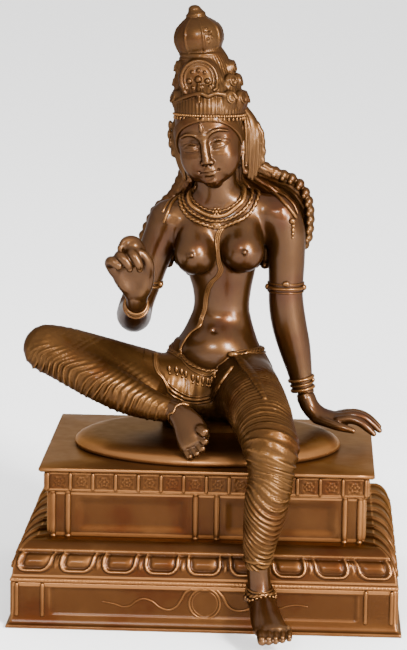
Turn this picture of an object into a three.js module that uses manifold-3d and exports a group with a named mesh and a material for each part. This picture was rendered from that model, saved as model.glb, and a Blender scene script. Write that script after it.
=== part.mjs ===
// A goddess cast in bronze, seated on a low oval cushion with one leg folded and one hanging, and the
// stepped lotus pedestal that she sits on. Millimetres, +Z up. The front faces -Y, and the origin is
// on the floor below the middle of the pedestal.
import * as THREE from "three";
import { mergeVertices } from "three/addons/utils/BufferGeometryUtils.js";
import Module from "manifold-3d";

const wasm = await Module();
wasm.setup();

// Driving sizes of the pedestal. A flare or an inset is measured from the edge of its top slab.
const SLAB_WIDTH = 170;
const SLAB_DEPTH = 131;
const SLAB_THICKNESS = 2.5;
const SLAB_CHAMFER = 1.2;
const FRIEZE_HEIGHT = 10;
const FRIEZE_INSET = 3.4;
const DADO_HEIGHT = 24;
const DADO_INSET = 5.4;
const LOTUS_HEIGHT = 17.5;
const LOTUS_FLARE = 12;
const BEAD_HEIGHT = 2.5;
const BEAD_PROUD = 0.8;
const BLOCK_HEIGHT = 19;
const FLANGE_HEIGHT = 4.5;
const FLANGE_LIP = 1.6;
const FLANGE_FLARE = 3;

// Driving sizes of the pedestal's carving
const PETAL_PITCH = 21.5;
const PETAL_PROUD = 1.6;
const FRIEZE_PITCH = 12;
const FRIEZE_BAR_RADIUS = 1;
const PILASTER_RADIUS = 1.7;
const PILASTER_SPACING = 7.6;
const CENTRE_SPACING = 10.8;
const PANEL_MARGIN = 3;
const PANEL_DEPTH = 1.2;
const BLOCK_BAR_RADIUS = 1.2;
const BLOCK_BAR_SPACING = 13;
const SCROLL_RADIUS = 0.7;
const SCROLL_RING = 7.8;
const SCROLL_REACH = 52;
const SCROLL_WAVE = 6.5;
const SCROLL_TURNS = 2;

// Driving sizes of the figure
const FIGURE_HEIGHT = 230;
const CUSHION_WIDTH = 140;
const CUSHION_DEPTH = 110;
const CUSHION_HEIGHT = 7;
const FOLD_HEIGHT = 0.9;
const BANGLE_WIDTH = 3.4;
const BANGLE_PROUD = 1.5;
const FINGER_RADIUS = 2.3;

// A limb's rounded end is one smaller ring, as shares of the limb's radius.
const END_SHRINK = 0.62;
const END_REACH = 0.7;

// The figure and the pedestal are two castings, which meet with this gap.
const RESTING_GAP = 0.3;

// Where shapes join, edges shorter than this close up.
const SEAM = { pedestal: 0.1, figure: 1 };

// Levels above the floor
const BLOCK_Z = FLANGE_HEIGHT;
const BEAD_Z = BLOCK_Z + BLOCK_HEIGHT;
const LOTUS_Z = BEAD_Z + BEAD_HEIGHT;
const DADO_Z = LOTUS_Z + LOTUS_HEIGHT;
const FRIEZE_Z = DADO_Z + DADO_HEIGHT;
const SLAB_Z = FRIEZE_Z + FRIEZE_HEIGHT;
const SLAB_TOP = SLAB_Z + SLAB_THICKNESS;

// The pose is drawn for a figure this high, with z from the slab's top, and scales with the figure.
const DRAWN_HEIGHT = 230;
const k = FIGURE_HEIGHT / DRAWN_HEIGHT;

// Joining and cutting

function solid(geometry, tolerance) {
  const bare = geometry.clone();
  for (const name of ["normal", "uv"]) bare.deleteAttribute(name);
  const merged = mergeVertices(bare, 1e-4);
  const vertProperties = merged.attributes.position.array;
  const triVerts = new Uint32Array(merged.index.array);
  return new wasm.Manifold(new wasm.Mesh({ numProp: 3, vertProperties, triVerts, tolerance }));
}

const joined = (geometries, tolerance) => wasm.Manifold.union(geometries.map((g) => solid(g, tolerance)));

// One body, without the pockets that overlapping shapes may seal in between them.
const whole = (manifold) => manifold.decompose().reduce((a, b) => (b.volume() > a.volume() ? b : a));

function meshOf(name, manifold, material) {
  const { vertProperties, triVerts } = manifold.getMesh();
  const geometry = new THREE.BufferGeometry();
  geometry.setAttribute("position", new THREE.BufferAttribute(vertProperties, 3));
  geometry.setIndex(new THREE.BufferAttribute(triVerts, 1));
  const flat = geometry.toNonIndexed();
  flat.computeVertexNormals();
  const mesh = new THREE.Mesh(flat, material);
  mesh.name = name;
  return mesh;
}

// A closed skin over rings of points that all run anticlockwise about the way from first to last.
function skin(rings) {
  const sides = rings[0].length;
  const middle = (ring) => ring.reduce((sum, p) => sum.add(p), new THREE.Vector3()).divideScalar(sides);
  const points = [...rings.flat(), middle(rings[0]), middle(rings.at(-1))];
  const index = [];
  for (let i = 0; i < rings.length - 1; i++)
    for (let j = 0; j < sides; j++) {
      const [a, b] = [i * sides + j, i * sides + ((j + 1) % sides)];
      index.push(a, b, b + sides, a, b + sides, a + sides);
    }
  const last = (rings.length - 1) * sides;
  for (let j = 0; j < sides; j++) {
    const next = (j + 1) % sides;
    index.push(rings.length * sides, next, j);
    index.push(rings.length * sides + 1, last + j, last + next);
  }
  return new THREE.BufferGeometry().setFromPoints(points).setIndex(index);
}

// A limb through stations of x, y, z, half width and half depth. `across` is the way its width runs.
// `folds` is how many cloth folds ring it, and `lean` slants them along it. `ribs` sinks every other
// side. `bands` are the shares of its length where it wears a bangle, and `ends` says which ends are
// rounded.
function limb(stations, options = {}) {
  const { sides = 8, steps, across = [1, 0, 0], folds = 0, lean = 0, ribs = 0 } = options;
  const { bands = [], ends = [1, 1] } = options;
  const line = new THREE.CatmullRomCurve3(stations.map(([x, y, z]) => new THREE.Vector3(x, y, z)));
  const widths = new THREE.CatmullRomCurve3(stations.map(([, , , a, b = a]) => new THREE.Vector3(a, b, 0)));
  const ringAt = (share, shrink, shift, proud) => {
    const t = line.getUtoTmapping(share);
    const tangent = line.getTangent(t);
    const u = new THREE.Vector3(...across);
    u.addScaledVector(tangent, -u.dot(tangent)).normalize();
    const v = tangent.clone().cross(u);
    const { x: a, y: b } = widths.getPoint(t);
    const centre = line.getPoint(t).addScaledVector(tangent, shift * Math.min(a, b));
    return Array.from({ length: sides }, (_, j) => {
      const angle = (2 * Math.PI * j) / sides;
      const out = proud - (j % 2 ? ribs : 0);
      const p = centre.clone();
      p.addScaledVector(u, (a + out) * shrink * Math.cos(angle));
      p.addScaledVector(v, (b + out) * shrink * Math.sin(angle));
      return p.addScaledVector(tangent, lean * shrink * a * Math.cos(angle));
    });
  };
  const count = folds ? 2 * folds : (steps ?? stations.length);
  const even = Array.from({ length: count + 1 }, (_, i) => [i / count, folds && i % 2 ? FOLD_HEIGHT : 0]);
  const half = BANGLE_WIDTH / 2 / line.getLength();
  const clear = even.filter(([share]) => bands.every((band) => Math.abs(share - band) > 2 * half));
  const worn = bands.flatMap((band) => [[band - half, 0], [band, BANGLE_PROUD], [band + half, 0]]);
  const levels = [...clear, ...worn].sort(([s], [t]) => s - t);
  const body = levels.map(([share, proud]) => ringAt(share, 1, 0, proud));
  if (ends[0]) body.unshift(ringAt(0, END_SHRINK, -END_REACH, 0));
  if (ends[1]) body.push(ringAt(1, END_SHRINK, END_REACH, 0));
  return skin(body);
}

// The same from drawn stations, scaled to the figure.
const drawn = (stations, options) => limb(stations.map((s) => s.map((n) => n * k)), options);

// A cord through drawn points, square in section.
const cord = (points, radius, steps) =>
  drawn(points.map((p) => [...p, radius]), { sides: 4, steps, ends: [0, 0] });

function ball([x, y, z], [a, b, c], segments = 10) {
  const geometry = new THREE.SphereGeometry(1, segments, Math.round(segments * 0.6));
  return geometry.rotateX(Math.PI / 2).scale(a * k, b * k, c * k).translate(x * k, y * k, z * k);
}

// The pedestal

// A closed stack of rings that may differ in their number of points. Each point is a corner of its
// ring or lies on an edge of it, and holds `share`, the way round to it in edges from the first corner.
function stack(rings) {
  const points = rings.flat().map(({ place }) => place);
  const start = rings.map((_, i) => rings.slice(0, i).flat().length);
  const index = [];
  for (let i = 0; i < rings.length - 1; i++) {
    const [low, high] = [rings[i], rings[i + 1]];
    const ahead = (ring, j) => (j + 1 < ring.length ? ring[j + 1].share : CORNERS.length);
    for (let [a, b] = [0, 0]; a < low.length || b < high.length; ) {
      const [la, hb] = [start[i] + (a % low.length), start[i + 1] + (b % high.length)];
      const lowFirst = b >= high.length || (a < low.length && ahead(low, a) <= ahead(high, b));
      if (lowFirst) index.push(la, start[i] + (++a % low.length), hb);
      else index.push(la, start[i + 1] + (++b % high.length), hb);
    }
  }
  const top = start.at(-1);
  index.push(0, 2, 1, 0, 3, 2, top, top + 1, top + 2, top, top + 2, top + 3);
  return new THREE.BufferGeometry().setFromPoints(points).setIndex(index);
}

// The corners of a rectangle that stands `out` of the slab's edge at a height
const CORNERS = [[-1, -1], [1, -1], [1, 1], [-1, 1]];
const corner = ([x, y], out, z) =>
  new THREE.Vector3(x * (SLAB_WIDTH / 2 + out), y * (SLAB_DEPTH / 2 + out), z);
const rectangle = ([out, z]) => CORNERS.map((signs, share) => ({ share, place: corner(signs, out, z) }));
const tiers = (profile) => stack(profile.map(rectangle));

// The lotus moulding is a quarter ellipse: `turn` runs from 0 at its foot to 1 below the dado, and
// `lift` is how far a point stands off it.
function lotusAt(turn, lift = 0) {
  const angle = (turn * Math.PI) / 2;
  const [cos, sin] = [Math.cos(angle), Math.sin(angle)];
  const normal = new THREE.Vector2(cos / LOTUS_FLARE, sin / LOTUS_HEIGHT).setLength(lift);
  return [LOTUS_FLARE * cos + normal.x, LOTUS_Z + LOTUS_HEIGHT * sin + normal.y];
}

// A level of rounded petals that hang down over the moulding. Each has a raised rim, whose inner edge
// stands `rim` of the petal's width in from the groove beside it, round a lower belly.
function petalRing({ turn, rim, rise }) {
  const across = [[0, -0.4], [rim, 1], [0.5, 0.5], [1 - rim, 1]];
  return CORNERS.flatMap((signs, side) => {
    const next = CORNERS[(side + 1) % CORNERS.length];
    const length = (side % 2 ? SLAB_DEPTH : SLAB_WIDTH) + LOTUS_FLARE;
    const count = Math.max(1, Math.round(length / PETAL_PITCH));
    return Array.from({ length: count }, (_, i) => i).flatMap((i) =>
      across.map(([part, proud]) => {
        const along = (i + part) / count;
        const [out, z] = lotusAt(turn, proud * rise * PETAL_PROUD);
        return { share: side + along, place: corner(signs, out, z).lerp(corner(next, out, z), along) };
      }),
    );
  });
}

function pedestalCore() {
  const base = [
    [LOTUS_FLARE + FLANGE_FLARE, 0],
    [LOTUS_FLARE + FLANGE_FLARE, FLANGE_LIP],
    [LOTUS_FLARE, BLOCK_Z],
    [LOTUS_FLARE, BEAD_Z],
    [LOTUS_FLARE + BEAD_PROUD, BEAD_Z + BEAD_HEIGHT * 0.25],
    [LOTUS_FLARE + BEAD_PROUD, BEAD_Z + BEAD_HEIGHT * 0.75],
    [LOTUS_FLARE, LOTUS_Z],
  ];
  const lotus = [
    { turn: 0.02, rim: 0.34, rise: 0.5 },
    { turn: 0.17, rim: 0.13, rise: 1 },
    { turn: 0.76, rim: 0.13, rise: 0.9 },
    { turn: 0.9, rim: 0.13, rise: 0 },
  ];
  const top = [
    lotusAt(1),
    [-DADO_INSET, DADO_Z],
    [-DADO_INSET, FRIEZE_Z],
    [-FRIEZE_INSET, FRIEZE_Z],
    [-FRIEZE_INSET, SLAB_Z],
    [-SLAB_CHAMFER, SLAB_Z],
    [0, SLAB_Z + SLAB_CHAMFER],
    [0, SLAB_TOP],
  ];
  return stack([...base.map(rectangle), ...lotus.map(petalRing), ...top.map(rectangle)]);
}

const UP = new THREE.Vector3(0, 0, 1);

// Each side is carved in its own frame, in which `at` places a point along it and out of it.
const SIDES = [0, 1, 2, 3].map((quarter) => ({
  half: (quarter % 2 ? SLAB_DEPTH : SLAB_WIDTH) / 2,
  front: quarter === 0,
  back: quarter === 2,
  at(x, out, z) {
    const reach = (quarter % 2 ? SLAB_WIDTH : SLAB_DEPTH) / 2;
    return new THREE.Vector3(x, -(reach + out), z).applyAxisAngle(UP, (quarter * Math.PI) / 2);
  },
}));

const spread = (count, pitch) => Array.from({ length: count }, (_, i) => (i - (count - 1) / 2) * pitch);
const paired = (middle, spacing) => [-1, 1].flatMap((way) => spread(2, spacing).map((x) => x + way * middle));

// An upright bar, half sunk in the face behind it.
function bar(side, x, out, z0, z1, radius, sides) {
  const ring = (z) =>
    Array.from({ length: sides }, (_, j) => {
      const angle = Math.PI * (2 * j / sides - 0.5);
      return side.at(x + radius * Math.cos(angle), out - radius * Math.sin(angle), z);
    });
  return skin([ring(z0), ring(z1)]);
}

function friezeBars(side) {
  if (side.back) return [];
  const length = 2 * (side.half - FRIEZE_INSET - FRIEZE_BAR_RADIUS);
  const gaps = Math.max(1, Math.round(length / (side.front ? FRIEZE_PITCH : 2 * FRIEZE_PITCH)));
  return spread(gaps + 1, length / gaps).map((x) =>
    bar(side, x, -FRIEZE_INSET, FRIEZE_Z + 0.8, SLAB_Z + 0.3, FRIEZE_BAR_RADIUS, 4),
  );
}

// Pairs of half-round pilasters stand at the corners of the dado, and one pair in the middle in front.
function pilasters(side) {
  const corner = side.half - DADO_INSET - PILASTER_RADIUS - PILASTER_SPACING / 2;
  const places = paired(corner, PILASTER_SPACING);
  if (side.front) places.push(...spread(2, CENTRE_SPACING));
  return places.map((x) => bar(side, x, -DADO_INSET, DADO_Z - 0.3, FRIEZE_Z + 0.3, PILASTER_RADIUS, 6));
}

function blockBars(side) {
  if (side.back) return [];
  const middle = side.half + LOTUS_FLARE - 2 * BLOCK_BAR_RADIUS - BLOCK_BAR_SPACING / 2;
  return paired(middle, BLOCK_BAR_SPACING).map((x) =>
    bar(side, x, LOTUS_FLARE, BLOCK_Z - 1.5, BEAD_Z - 0.6, BLOCK_BAR_RADIUS, 4),
  );
}

// A sunk panel with slanting sides, as a solid to cut away.
function panel(side, x0, x1, face, z0, z1) {
  const corners = (inset, out) => [
    side.at(x0 + inset, out, z0 + inset),
    side.at(x0 + inset, out, z1 - inset),
    side.at(x1 - inset, out, z1 - inset),
    side.at(x1 - inset, out, z0 + inset),
  ];
  return skin([corners(-PANEL_DEPTH, face + PANEL_DEPTH), corners(PANEL_DEPTH, face - PANEL_DEPTH)]);
}

function panels(side) {
  const outer = side.half - DADO_INSET - PILASTER_SPACING - 3 * PILASTER_RADIUS;
  const inner = CENTRE_SPACING / 2 + 2 * PILASTER_RADIUS;
  const spans = side.front ? [[-outer, -inner], [inner, outer]] : [[-outer, outer]];
  const dado = spans.map(([x0, x1]) =>
    panel(side, x0, x1, -DADO_INSET, DADO_Z + PANEL_MARGIN, FRIEZE_Z - PANEL_MARGIN),
  );
  const reach = side.half + LOTUS_FLARE - BLOCK_BAR_SPACING - 5 * BLOCK_BAR_RADIUS;
  const margin = PANEL_MARGIN * 0.7;
  return [...dado, panel(side, -reach, reach, LOTUS_FLARE, BLOCK_Z + margin, BEAD_Z - margin)];
}

// A raised ring in the middle of the front panel, with a waving tendril to either side of it.
function scroll(side) {
  const [out, z] = [LOTUS_FLARE - PANEL_DEPTH, (BLOCK_Z + BEAD_Z) / 2];
  const outward = side.at(0, 1, 0).sub(side.at(0, 0, 0));
  const loop = new THREE.TorusGeometry(SCROLL_RING, SCROLL_RADIUS, 3, 14).rotateX(Math.PI / 2);
  loop.translate(...side.at(0, out, z));
  const tendril = (way) => {
    const wave = Array.from({ length: SCROLL_TURNS * 4 + 1 }, (_, i) => {
      const share = i / (SCROLL_TURNS * 4);
      const x = SCROLL_RING * 0.7 + (SCROLL_REACH - SCROLL_RING * 0.7) * share;
      const fade = 0.2 + 0.8 * (1 - share) ** 2;
      return side.at(way * x, out, z + SCROLL_WAVE * fade * Math.cos((Math.PI * i) / 2));
    });
    const curve = new THREE.CatmullRomCurve3(wave);
    const steps = SCROLL_TURNS * 7;
    const rings = curve.getPoints(steps).map((centre, i) => {
      const across = curve.getTangent(i / steps).cross(outward).normalize();
      return [[-1, -1], [0, 1], [1, -1]].map(([a, b]) =>
        centre.clone().addScaledVector(across, a * SCROLL_RADIUS).addScaledVector(outward, b * SCROLL_RADIUS),
      );
    });
    return skin(rings);
  };
  return [loop, tendril(1), tendril(-1)];
}

function pedestal() {
  const cuts = SIDES.flatMap(panels);
  const raised = SIDES.flatMap((side) => [
    ...friezeBars(side),
    ...pilasters(side),
    ...blockBars(side),
    ...(side.front ? scroll(side) : []),
  ]);
  const seam = SEAM.pedestal;
  return solid(pedestalCore(), seam).subtract(joined(cuts, seam)).add(joined(raised, seam));
}

// The figure

function cushion() {
  const profile = [[0, 0], [0.965, 0], [1, 0.45], [0.93, 0.92], [0, 1.02]];
  const geometry = new THREE.LatheGeometry(profile.map(([r, z]) => new THREE.Vector2(r, z)), 22);
  geometry.rotateX(Math.PI / 2).scale(CUSHION_WIDTH / 2, CUSHION_DEPTH / 2, CUSHION_HEIGHT);
  return geometry.translate(-2 * k, -3 * k, 0);
}

function torso() {
  const trunk = drawn(
    [
      [1, 13, 5, 27, 21],
      [1.5, 13, 17, 29.5, 22],
      [2, 12.5, 33, 28.5, 20.5],
      [2.4, 12, 46, 25, 17.5],
      [3.2, 12.5, 58, 18.6, 14.5],
      [3.8, 13, 70, 14.8, 12.4],
      [4, 12.5, 80, 15.2, 12.3],
      [3.6, 11, 91, 18, 13],
      [2.8, 9.5, 103, 21.5, 14],
      [3, 9, 113, 24, 14],
      [3.2, 9, 121, 23, 11],
      [1.5, 9, 128, 15, 9],
      [1, 8, 133, 10, 8.8],
      [0.5, 6, 141, 9.3, 9],
      [-0.5, 5, 149, 9.3, 9],
    ],
    { sides: 12, steps: 10, ends: [0, 0] },
  );
  const shoulders = drawn(
    [[-23.5, 9, 117.5, 9], [-13, 9, 123.5, 8], [2, 9, 127, 8.4], [20, 9.5, 125.5, 8], [34, 10, 121, 10]],
    { across: [0, 1, 0], steps: 4, ends: [0, 0] },
  );
  const breasts = [ball([-9.6, -4.3, 102.4], [11.3, 11.6, 12.6]), ball([15, -4.3, 105], [12.2, 12, 12.8])];
  return [trunk, shoulders, ...breasts];
}

function digits(paths, radius = FINGER_RADIUS) {
  return paths.map((points) => {
    const taper = (i) => 1 - (0.35 * i) / (points.length - 1);
    return drawn(points.map((p, i) => [...p, (radius / k) * taper(i)]), { sides: 5, steps: 3, ends: [0, 1] });
  });
}

function proppingArm() {
  const arm = drawn(
    [
      [34, 10, 121, 10.8],
      [37, 11, 108, 10.2],
      [37.6, 12, 92, 9.6],
      [37.5, 12, 77, 9.4],
      [39.5, 13, 66, 9.4],
      [43, 14, 50, 8.6],
      [46, 14, 36, 6.6],
      [48, 14, 26, 5.6],
      [51.5, 13.6, 19.5, 5.6],
    ],
    { sides: 9, steps: 7, bands: [0.38, 0.86, 0.92], ends: [1, 0] },
  );
  const palm = drawn(
    [[50, 13.5, 21, 5.6, 5], [55, 13, 14.5, 7.5, 4.8], [63, 12.5, 12, 9, 4], [71, 12, 12.4, 9.4, 3.2]],
    { across: [0, 1, 0], steps: 3, ends: [0, 1] },
  );
  const hand = digits([
    [[68, 4.6, 12.6], [76, 3, 13.5], [81.5, 1.6, 10], [85, 1, 7]],
    [[69, 9.4, 13.2], [78, 8.8, 14], [83.5, 8.2, 10.6], [87.5, 8, 7.4]],
    [[69, 14.4, 13.2], [78, 14.6, 14], [83.5, 14.6, 11], [87.5, 14.6, 8]],
    [[68, 18.8, 12.6], [75.5, 20.4, 13], [80.5, 21.2, 10.4], [83.5, 21.6, 8]],
    [[56, 7, 12.6], [64, 2, 11], [69, -0.6, 10], [73.5, -1.6, 9.2]],
  ]);
  return [arm, palm, ...hand];
}

function raisedArm() {
  const arm = drawn(
    [
      [-23.8, 8, 117.5, 9.6],
      [-29, 9, 105.5, 9],
      [-34.6, 9, 90, 8.8],
      [-39.3, 9, 76, 9],
      [-41.4, 6, 68, 9],
      [-41.2, -5, 68.5, 8.6],
      [-40, -18, 72.5, 7.6],
      [-38.6, -30, 77.5, 6.2],
      [-37.9, -38, 82, 5.2],
    ],
    { sides: 9, steps: 10, bands: [0.36, 0.88, 0.94], ends: [1, 0] },
  );
  const palm = drawn(
    [
      [-38, -38.5, 81, 4.8, 4.6],
      [-38.6, -41, 88, 7, 4.4],
      [-39.6, -43, 96, 9.8, 4],
      [-40.6, -44, 103, 10.8, 3.4],
    ],
    { steps: 3, ends: [0, 1] },
  );
  const hand = digits([
    [[-49.2, -44, 100], [-50.4, -48, 105.5], [-48.8, -52.5, 104.5], [-46.4, -52.5, 100.5]],
    [[-44.8, -44, 102], [-45.4, -49.5, 108.5], [-43.4, -54.5, 106.5], [-40.8, -54, 101.5]],
    [[-39.6, -44, 102], [-39.4, -50, 110], [-37.2, -55.5, 107.5], [-34.8, -55, 102]],
    [[-33.8, -43.5, 102], [-34.2, -46.5, 110], [-38.6, -49.5, 114.2], [-43.6, -52, 111.5]],
    [[-34.6, -40.5, 86], [-31, -44, 94], [-30.2, -48.5, 101], [-32, -51.5, 107.5]],
  ]);
  return [arm, palm, ...hand];
}

function foldedLeg() {
  const thigh = drawn(
    [
      [-9, 7, 29, 18.6],
      [-27.5, 0, 29.6, 17.8],
      [-43, -6, 36.2, 16.8],
      [-58.4, -11, 43.2, 15],
      [-72.7, -16, 49.7, 13],
      [-85, -20.5, 54, 11.4],
    ],
    { sides: 9, across: [0, 1, 0], folds: 9, lean: 0.25, ends: [0, 1] },
  );
  const shin = drawn(
    [
      [-86.4, -22, 53.4, 11.4],
      [-72.7, -27, 46.6, 10.8],
      [-56.7, -32, 38.6, 10.6],
      [-40.9, -36, 31.6, 9.8],
      [-29.4, -39, 28.1, 8.2],
      [-18.5, -41, 25.9, 6.2],
    ],
    { sides: 8, across: [0, 1, 0], folds: 9, lean: -0.2, ends: [1, 0] },
  );
  const foot = drawn(
    [
      [-24, -40, 26, 5, 5],
      [-15.5, -41.5, 24.5, 6.4, 5.6],
      [-11.5, -47, 20, 7.8, 5.6],
      [-8, -53, 16.5, 9.2, 4.4],
      [-5.2, -57.5, 14.2, 9.6, 3.2],
    ],
    { sides: 8, across: [-0.35, 0, 1], steps: 4, ends: [0, 1] },
  );
  const toes = [0, 1, 2, 3, 4].map((i) => {
    const [x, z, back] = [-2.4 - 1.25 * i - 0.25 * i * i, 20.8 - 3.35 * i, 0.4 * i];
    const line = [[x - 3, -53.5 + back, z], [x, -58.5 + back, z - 1], [x + 2, -61.5 + back, z - 2]];
    return drawn(line.map((p) => [...p, 2.4]), { sides: 4, steps: 1, ends: [0, 1] });
  });
  return [thigh, shin, foot, ...toes];
}

// The hanging leg crosses the slab's edge and hangs in front of the block, so it follows the pedestal
// as well as the figure: `out` is how far a station stands in front of the block's face, and a negative
// level is a share of the pedestal's height below the slab's top.
function hanging([x, out, level, a, b = a]) {
  const y = -(SLAB_DEPTH / 2 + LOTUS_FLARE) - out * k;
  const z = level < 0 ? level * SLAB_TOP : level * k;
  return [x * k, y, z, a * k, b * k];
}

function hangingLeg() {
  const hip = [14, 7, 31, 19, 19].map((n) => n * k);
  const knee = hanging([32.6, 6.5, 18, 13.8]);
  const rise = [0, 3.8, 5.6, 4.4, 0];
  const thighStations = rise.map((bulge, i) => {
    const share = i / (rise.length - 1);
    return hip.map((n, axis) => n + (knee[axis] - n) * share + (axis === 2 ? bulge * k : 0));
  });
  const thigh = limb(thighStations, { sides: 9, folds: 8, lean: 0.12, ends: [0, 1] });
  const shin = limb(
    [
      [32.6, 8, 16.7, 13.6],
      [32.2, 12.5, 3, 12],
      [31.3, 14.2, -0.09, 10.9],
      [29.8, 14.2, -0.22, 9.8],
      [27.8, 13.2, -0.38, 7.9],
      [27.4, 12.2, -0.49, 6.5],
    ].map(hanging),
    { sides: 8, folds: 10, lean: -0.35 },
  );
  const ankle = limb(
    [
      [27.4, 12, -0.47, 6, 6],
      [27.8, 11.6, -0.6, 5.8, 6],
      [28.6, 12, -0.7, 6.2, 6.6],
      [29.6, 14, -0.765, 6.6, 6],
    ].map(hanging),
    { sides: 8, steps: 2, bands: [0.6] },
  );
  const foot = limb(
    [
      [28.8, 8.5, -0.765, 5.6, 5.2],
      [30, 15, -0.765, 6.8, 6],
      [32, 27, -0.81, 8, 4.6],
      [35, 38, -0.85, 9, 3.2],
    ].map(hanging),
    { sides: 8, steps: 3 },
  );
  const toes = [0, 1, 2, 3, 4].map((i) => {
    const [x, back, radius] = [30.2 + 3.3 * i, 0.33 * i * i, 2.6 - 0.22 * i];
    const line = [[x - 0.6, 34, -0.845], [x, 42 - back, -0.868], [x + 0.4, 46 - back, -0.885]];
    return limb(line.map((s) => hanging([...s, radius])), { sides: 4, steps: 1, ends: [0, 1] });
  });
  return [thigh, shin, ankle, foot, ...toes];
}

// The head is made upright about its own middle, then turned and tipped on the neck.
const HEAD_AT = new THREE.Vector3(-3, 2.5, 158.5).multiplyScalar(k);
const HEAD_TURN = new THREE.Euler(...[6, -8, -9].map(THREE.MathUtils.degToRad), "ZYX");

function head() {
  const skull = drawn(
    [
      [0, -5.5, -18.8, 5.5, 5.5],
      [0, -4.6, -14.5, 11.2, 11],
      [0, -2.6, -8, 14.8, 14],
      [0, -1, 0, 16.6, 15.8],
      [0, 0.4, 8, 17, 16.8],
      [0, 1.4, 16, 15, 15.6],
    ],
    { sides: 12, steps: 6, ends: [1, 0] },
  );
  const nose = drawn(
    [[0, -15.8, 2.5, 1.5, 1.4], [0, -17, -2.5, 1.6, 1.7], [0, -18, -6.6, 2.7, 2.1]],
    { sides: 5, steps: 2 },
  );
  const lips = ball([0, -14.8, -12.2], [4.2, 2.2, 1.7], 7);
  const eyes = [-1, 1].map((s) => ball([s * 6.4, -13.6, 0.8], [3.8, 2.4, 1.8], 7));
  const ears = [-1, 1].map((s) =>
    drawn(
      [
        [s * 16.4, 1, 4, 1.8, 3.4],
        [s * 17.2, 1.4, -4, 1.7, 3],
        [s * 16.4, 1.6, -12, 2, 3.2],
        [s * 15, 1.6, -18, 2.6, 3.4],
      ],
      { sides: 6, steps: 2 },
    ),
  );
  const matrix = new THREE.Matrix4().makeRotationFromEuler(HEAD_TURN).setPosition(HEAD_AT);
  return [skull, nose, lips, ...eyes, ...ears].map((geometry) => geometry.applyMatrix4(matrix));
}

// The hair is combed up over a diadem into a tall knot, with a ribbed ball and a knob on top.
function hairKnot() {
  const tower = drawn(
    [
      [-4.8, 3.8, 169, 17.4, 18.6],
      [-4.6, 5, 173, 17.4, 18],
      [-4.8, 6.6, 179, 17, 17],
      [-5.6, 7.6, 184.5, 14.4, 14.4],
      [-6.2, 8, 189.5, 15.4, 14.6],
      [-7, 8, 195, 14.6, 13.8],
      [-8, 8, 199.5, 11.6, 11.6],
      [-9, 8, 204.5, 10.6, 10.6],
    ],
    { sides: 14, steps: 7, ribs: 0.7, bands: [0.08, 0.92], ends: [1, 0] },
  );
  const knot = drawn(
    [
      [-9.2, 8, 203, 9.4],
      [-9.6, 8, 208, 12],
      [-10, 8, 214, 13.6],
      [-10.6, 8, 220, 11],
      [-11, 8, 223, 6],
    ],
    { sides: 14, steps: 5, ribs: 0.8, ends: [0, 0] },
  );
  const knob = ball([-11.8, 8, 225.6], [4.2, 4.2, 4.4], 7);
  const rosette = ball([-7.6, -5.6, 193], [8.4, 2.4, 8.8], 9);
  return [tower, knot, knob, rosette];
}

// Locks fan out from the nape over the back of each shoulder, further over the propping arm's.
function fallingHair() {
  const outer = [[11, 15, 150], [28, 18.5, 140.5], [41, 21, 132.5], [48, 22, 121], [46.6, 20, 108]];
  const inner = [[3, 17, 148], [6, 22, 132], [10, 24.5, 117], [12, 24.5, 102], [11, 22, 90]];
  const lock = (share, reach) => {
    const stations = outer.map((p, i) => {
      const [x, y, z] = p.map((n, axis) => n + (inner[i][axis] - n) * share);
      const shrink = 1 - 0.09 * i;
      return [x * reach, y, z, 7 * shrink, 4.6 * shrink];
    });
    return drawn(stations, { sides: 5, steps: 4, ends: [0, 1] });
  };
  const locks = [
    ...[0, 0.4, 0.8].map((share) => lock(share, 1)),
    ...[0, 0.6].map((share) => lock(share, -0.52)),
  ];
  const nape = drawn(
    [[-4, 10, 174, 15, 9], [-2, 13, 160, 15, 8], [1, 16, 144, 13, 6], [2, 18, 128, 12, 5]],
    { sides: 6, steps: 3 },
  );
  const bunches = [
    [[-21, 8, 170, 3.6, 6], [-21.6, 9, 160, 3.6, 6], [-20.5, 10, 148, 3.4, 5], [-18, 10, 136, 3.6, 5]],
    [[16, 8, 171, 6, 6], [19.4, 9, 160, 6.6, 6], [21, 9, 149, 5.8, 6], [20.5, 8, 138, 5.8, 5]],
  ].map((stations) => drawn(stations, { sides: 6, steps: 3 }));
  return [nape, ...locks, ...bunches];
}

function jewellery() {
  const collar = [[-12.6, 4, 134], [-10.2, -4, 128.4], [0.3, -7.4, 124.6], [11, -4, 127.2], [14.6, 4, 134.4]];
  const garland = [
    [-17, 4, 131.4],
    [-13.2, -4.6, 122.6],
    [0, -8.2, 117.6],
    [14, -5.4, 121.6],
    [19, 4, 131.6],
  ];
  const thread = [
    [2, -5.6, 114],
    [2.4, -3.6, 102],
    [-0.6, -2.8, 92.5],
    [-3.6, -0.4, 81.2],
    [-5, -0.2, 68.6],
    [-9.4, -0.6, 60.9],
    [-16.6, -0.6, 52.1],
  ];
  return [cord(collar, 1.7, 7), cord(garland, 1.7, 7), cord(thread, 1, 8)];
}

function girdle() {
  const waist = [
    [-24, 8, 52],
    [-16.5, -1, 49],
    [-12, -5.2, 44.6],
    [-2.6, -7.2, 41.2],
    [5.6, -7, 42.4],
    [13, -4.4, 47],
    [22, 4, 50.5],
    [27, 10, 51],
  ];
  const apron = [
    [-33, -8, 43],
    [-29, -13.5, 36],
    [-21.5, -16, 29.6],
    [-13, -17, 27],
    [-3, -16.6, 27.2],
    [8, -14, 31.2],
    [16, -10, 39.4],
  ];
  const sash = [[12.5, -4.5, 48], [18, -7.6, 43.4], [24, -16, 41.4], [29, -24, 43]];
  const belly = ball([-2, -0.5, 36], [17, 12, 15]);
  const lap = ball([2, -4, 26], [20, 14, 12]);
  return [cord(waist, 1.5, 9), cord(apron, 1.3, 9), cord(sash, 1.8, 4), belly, lap];
}

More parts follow.
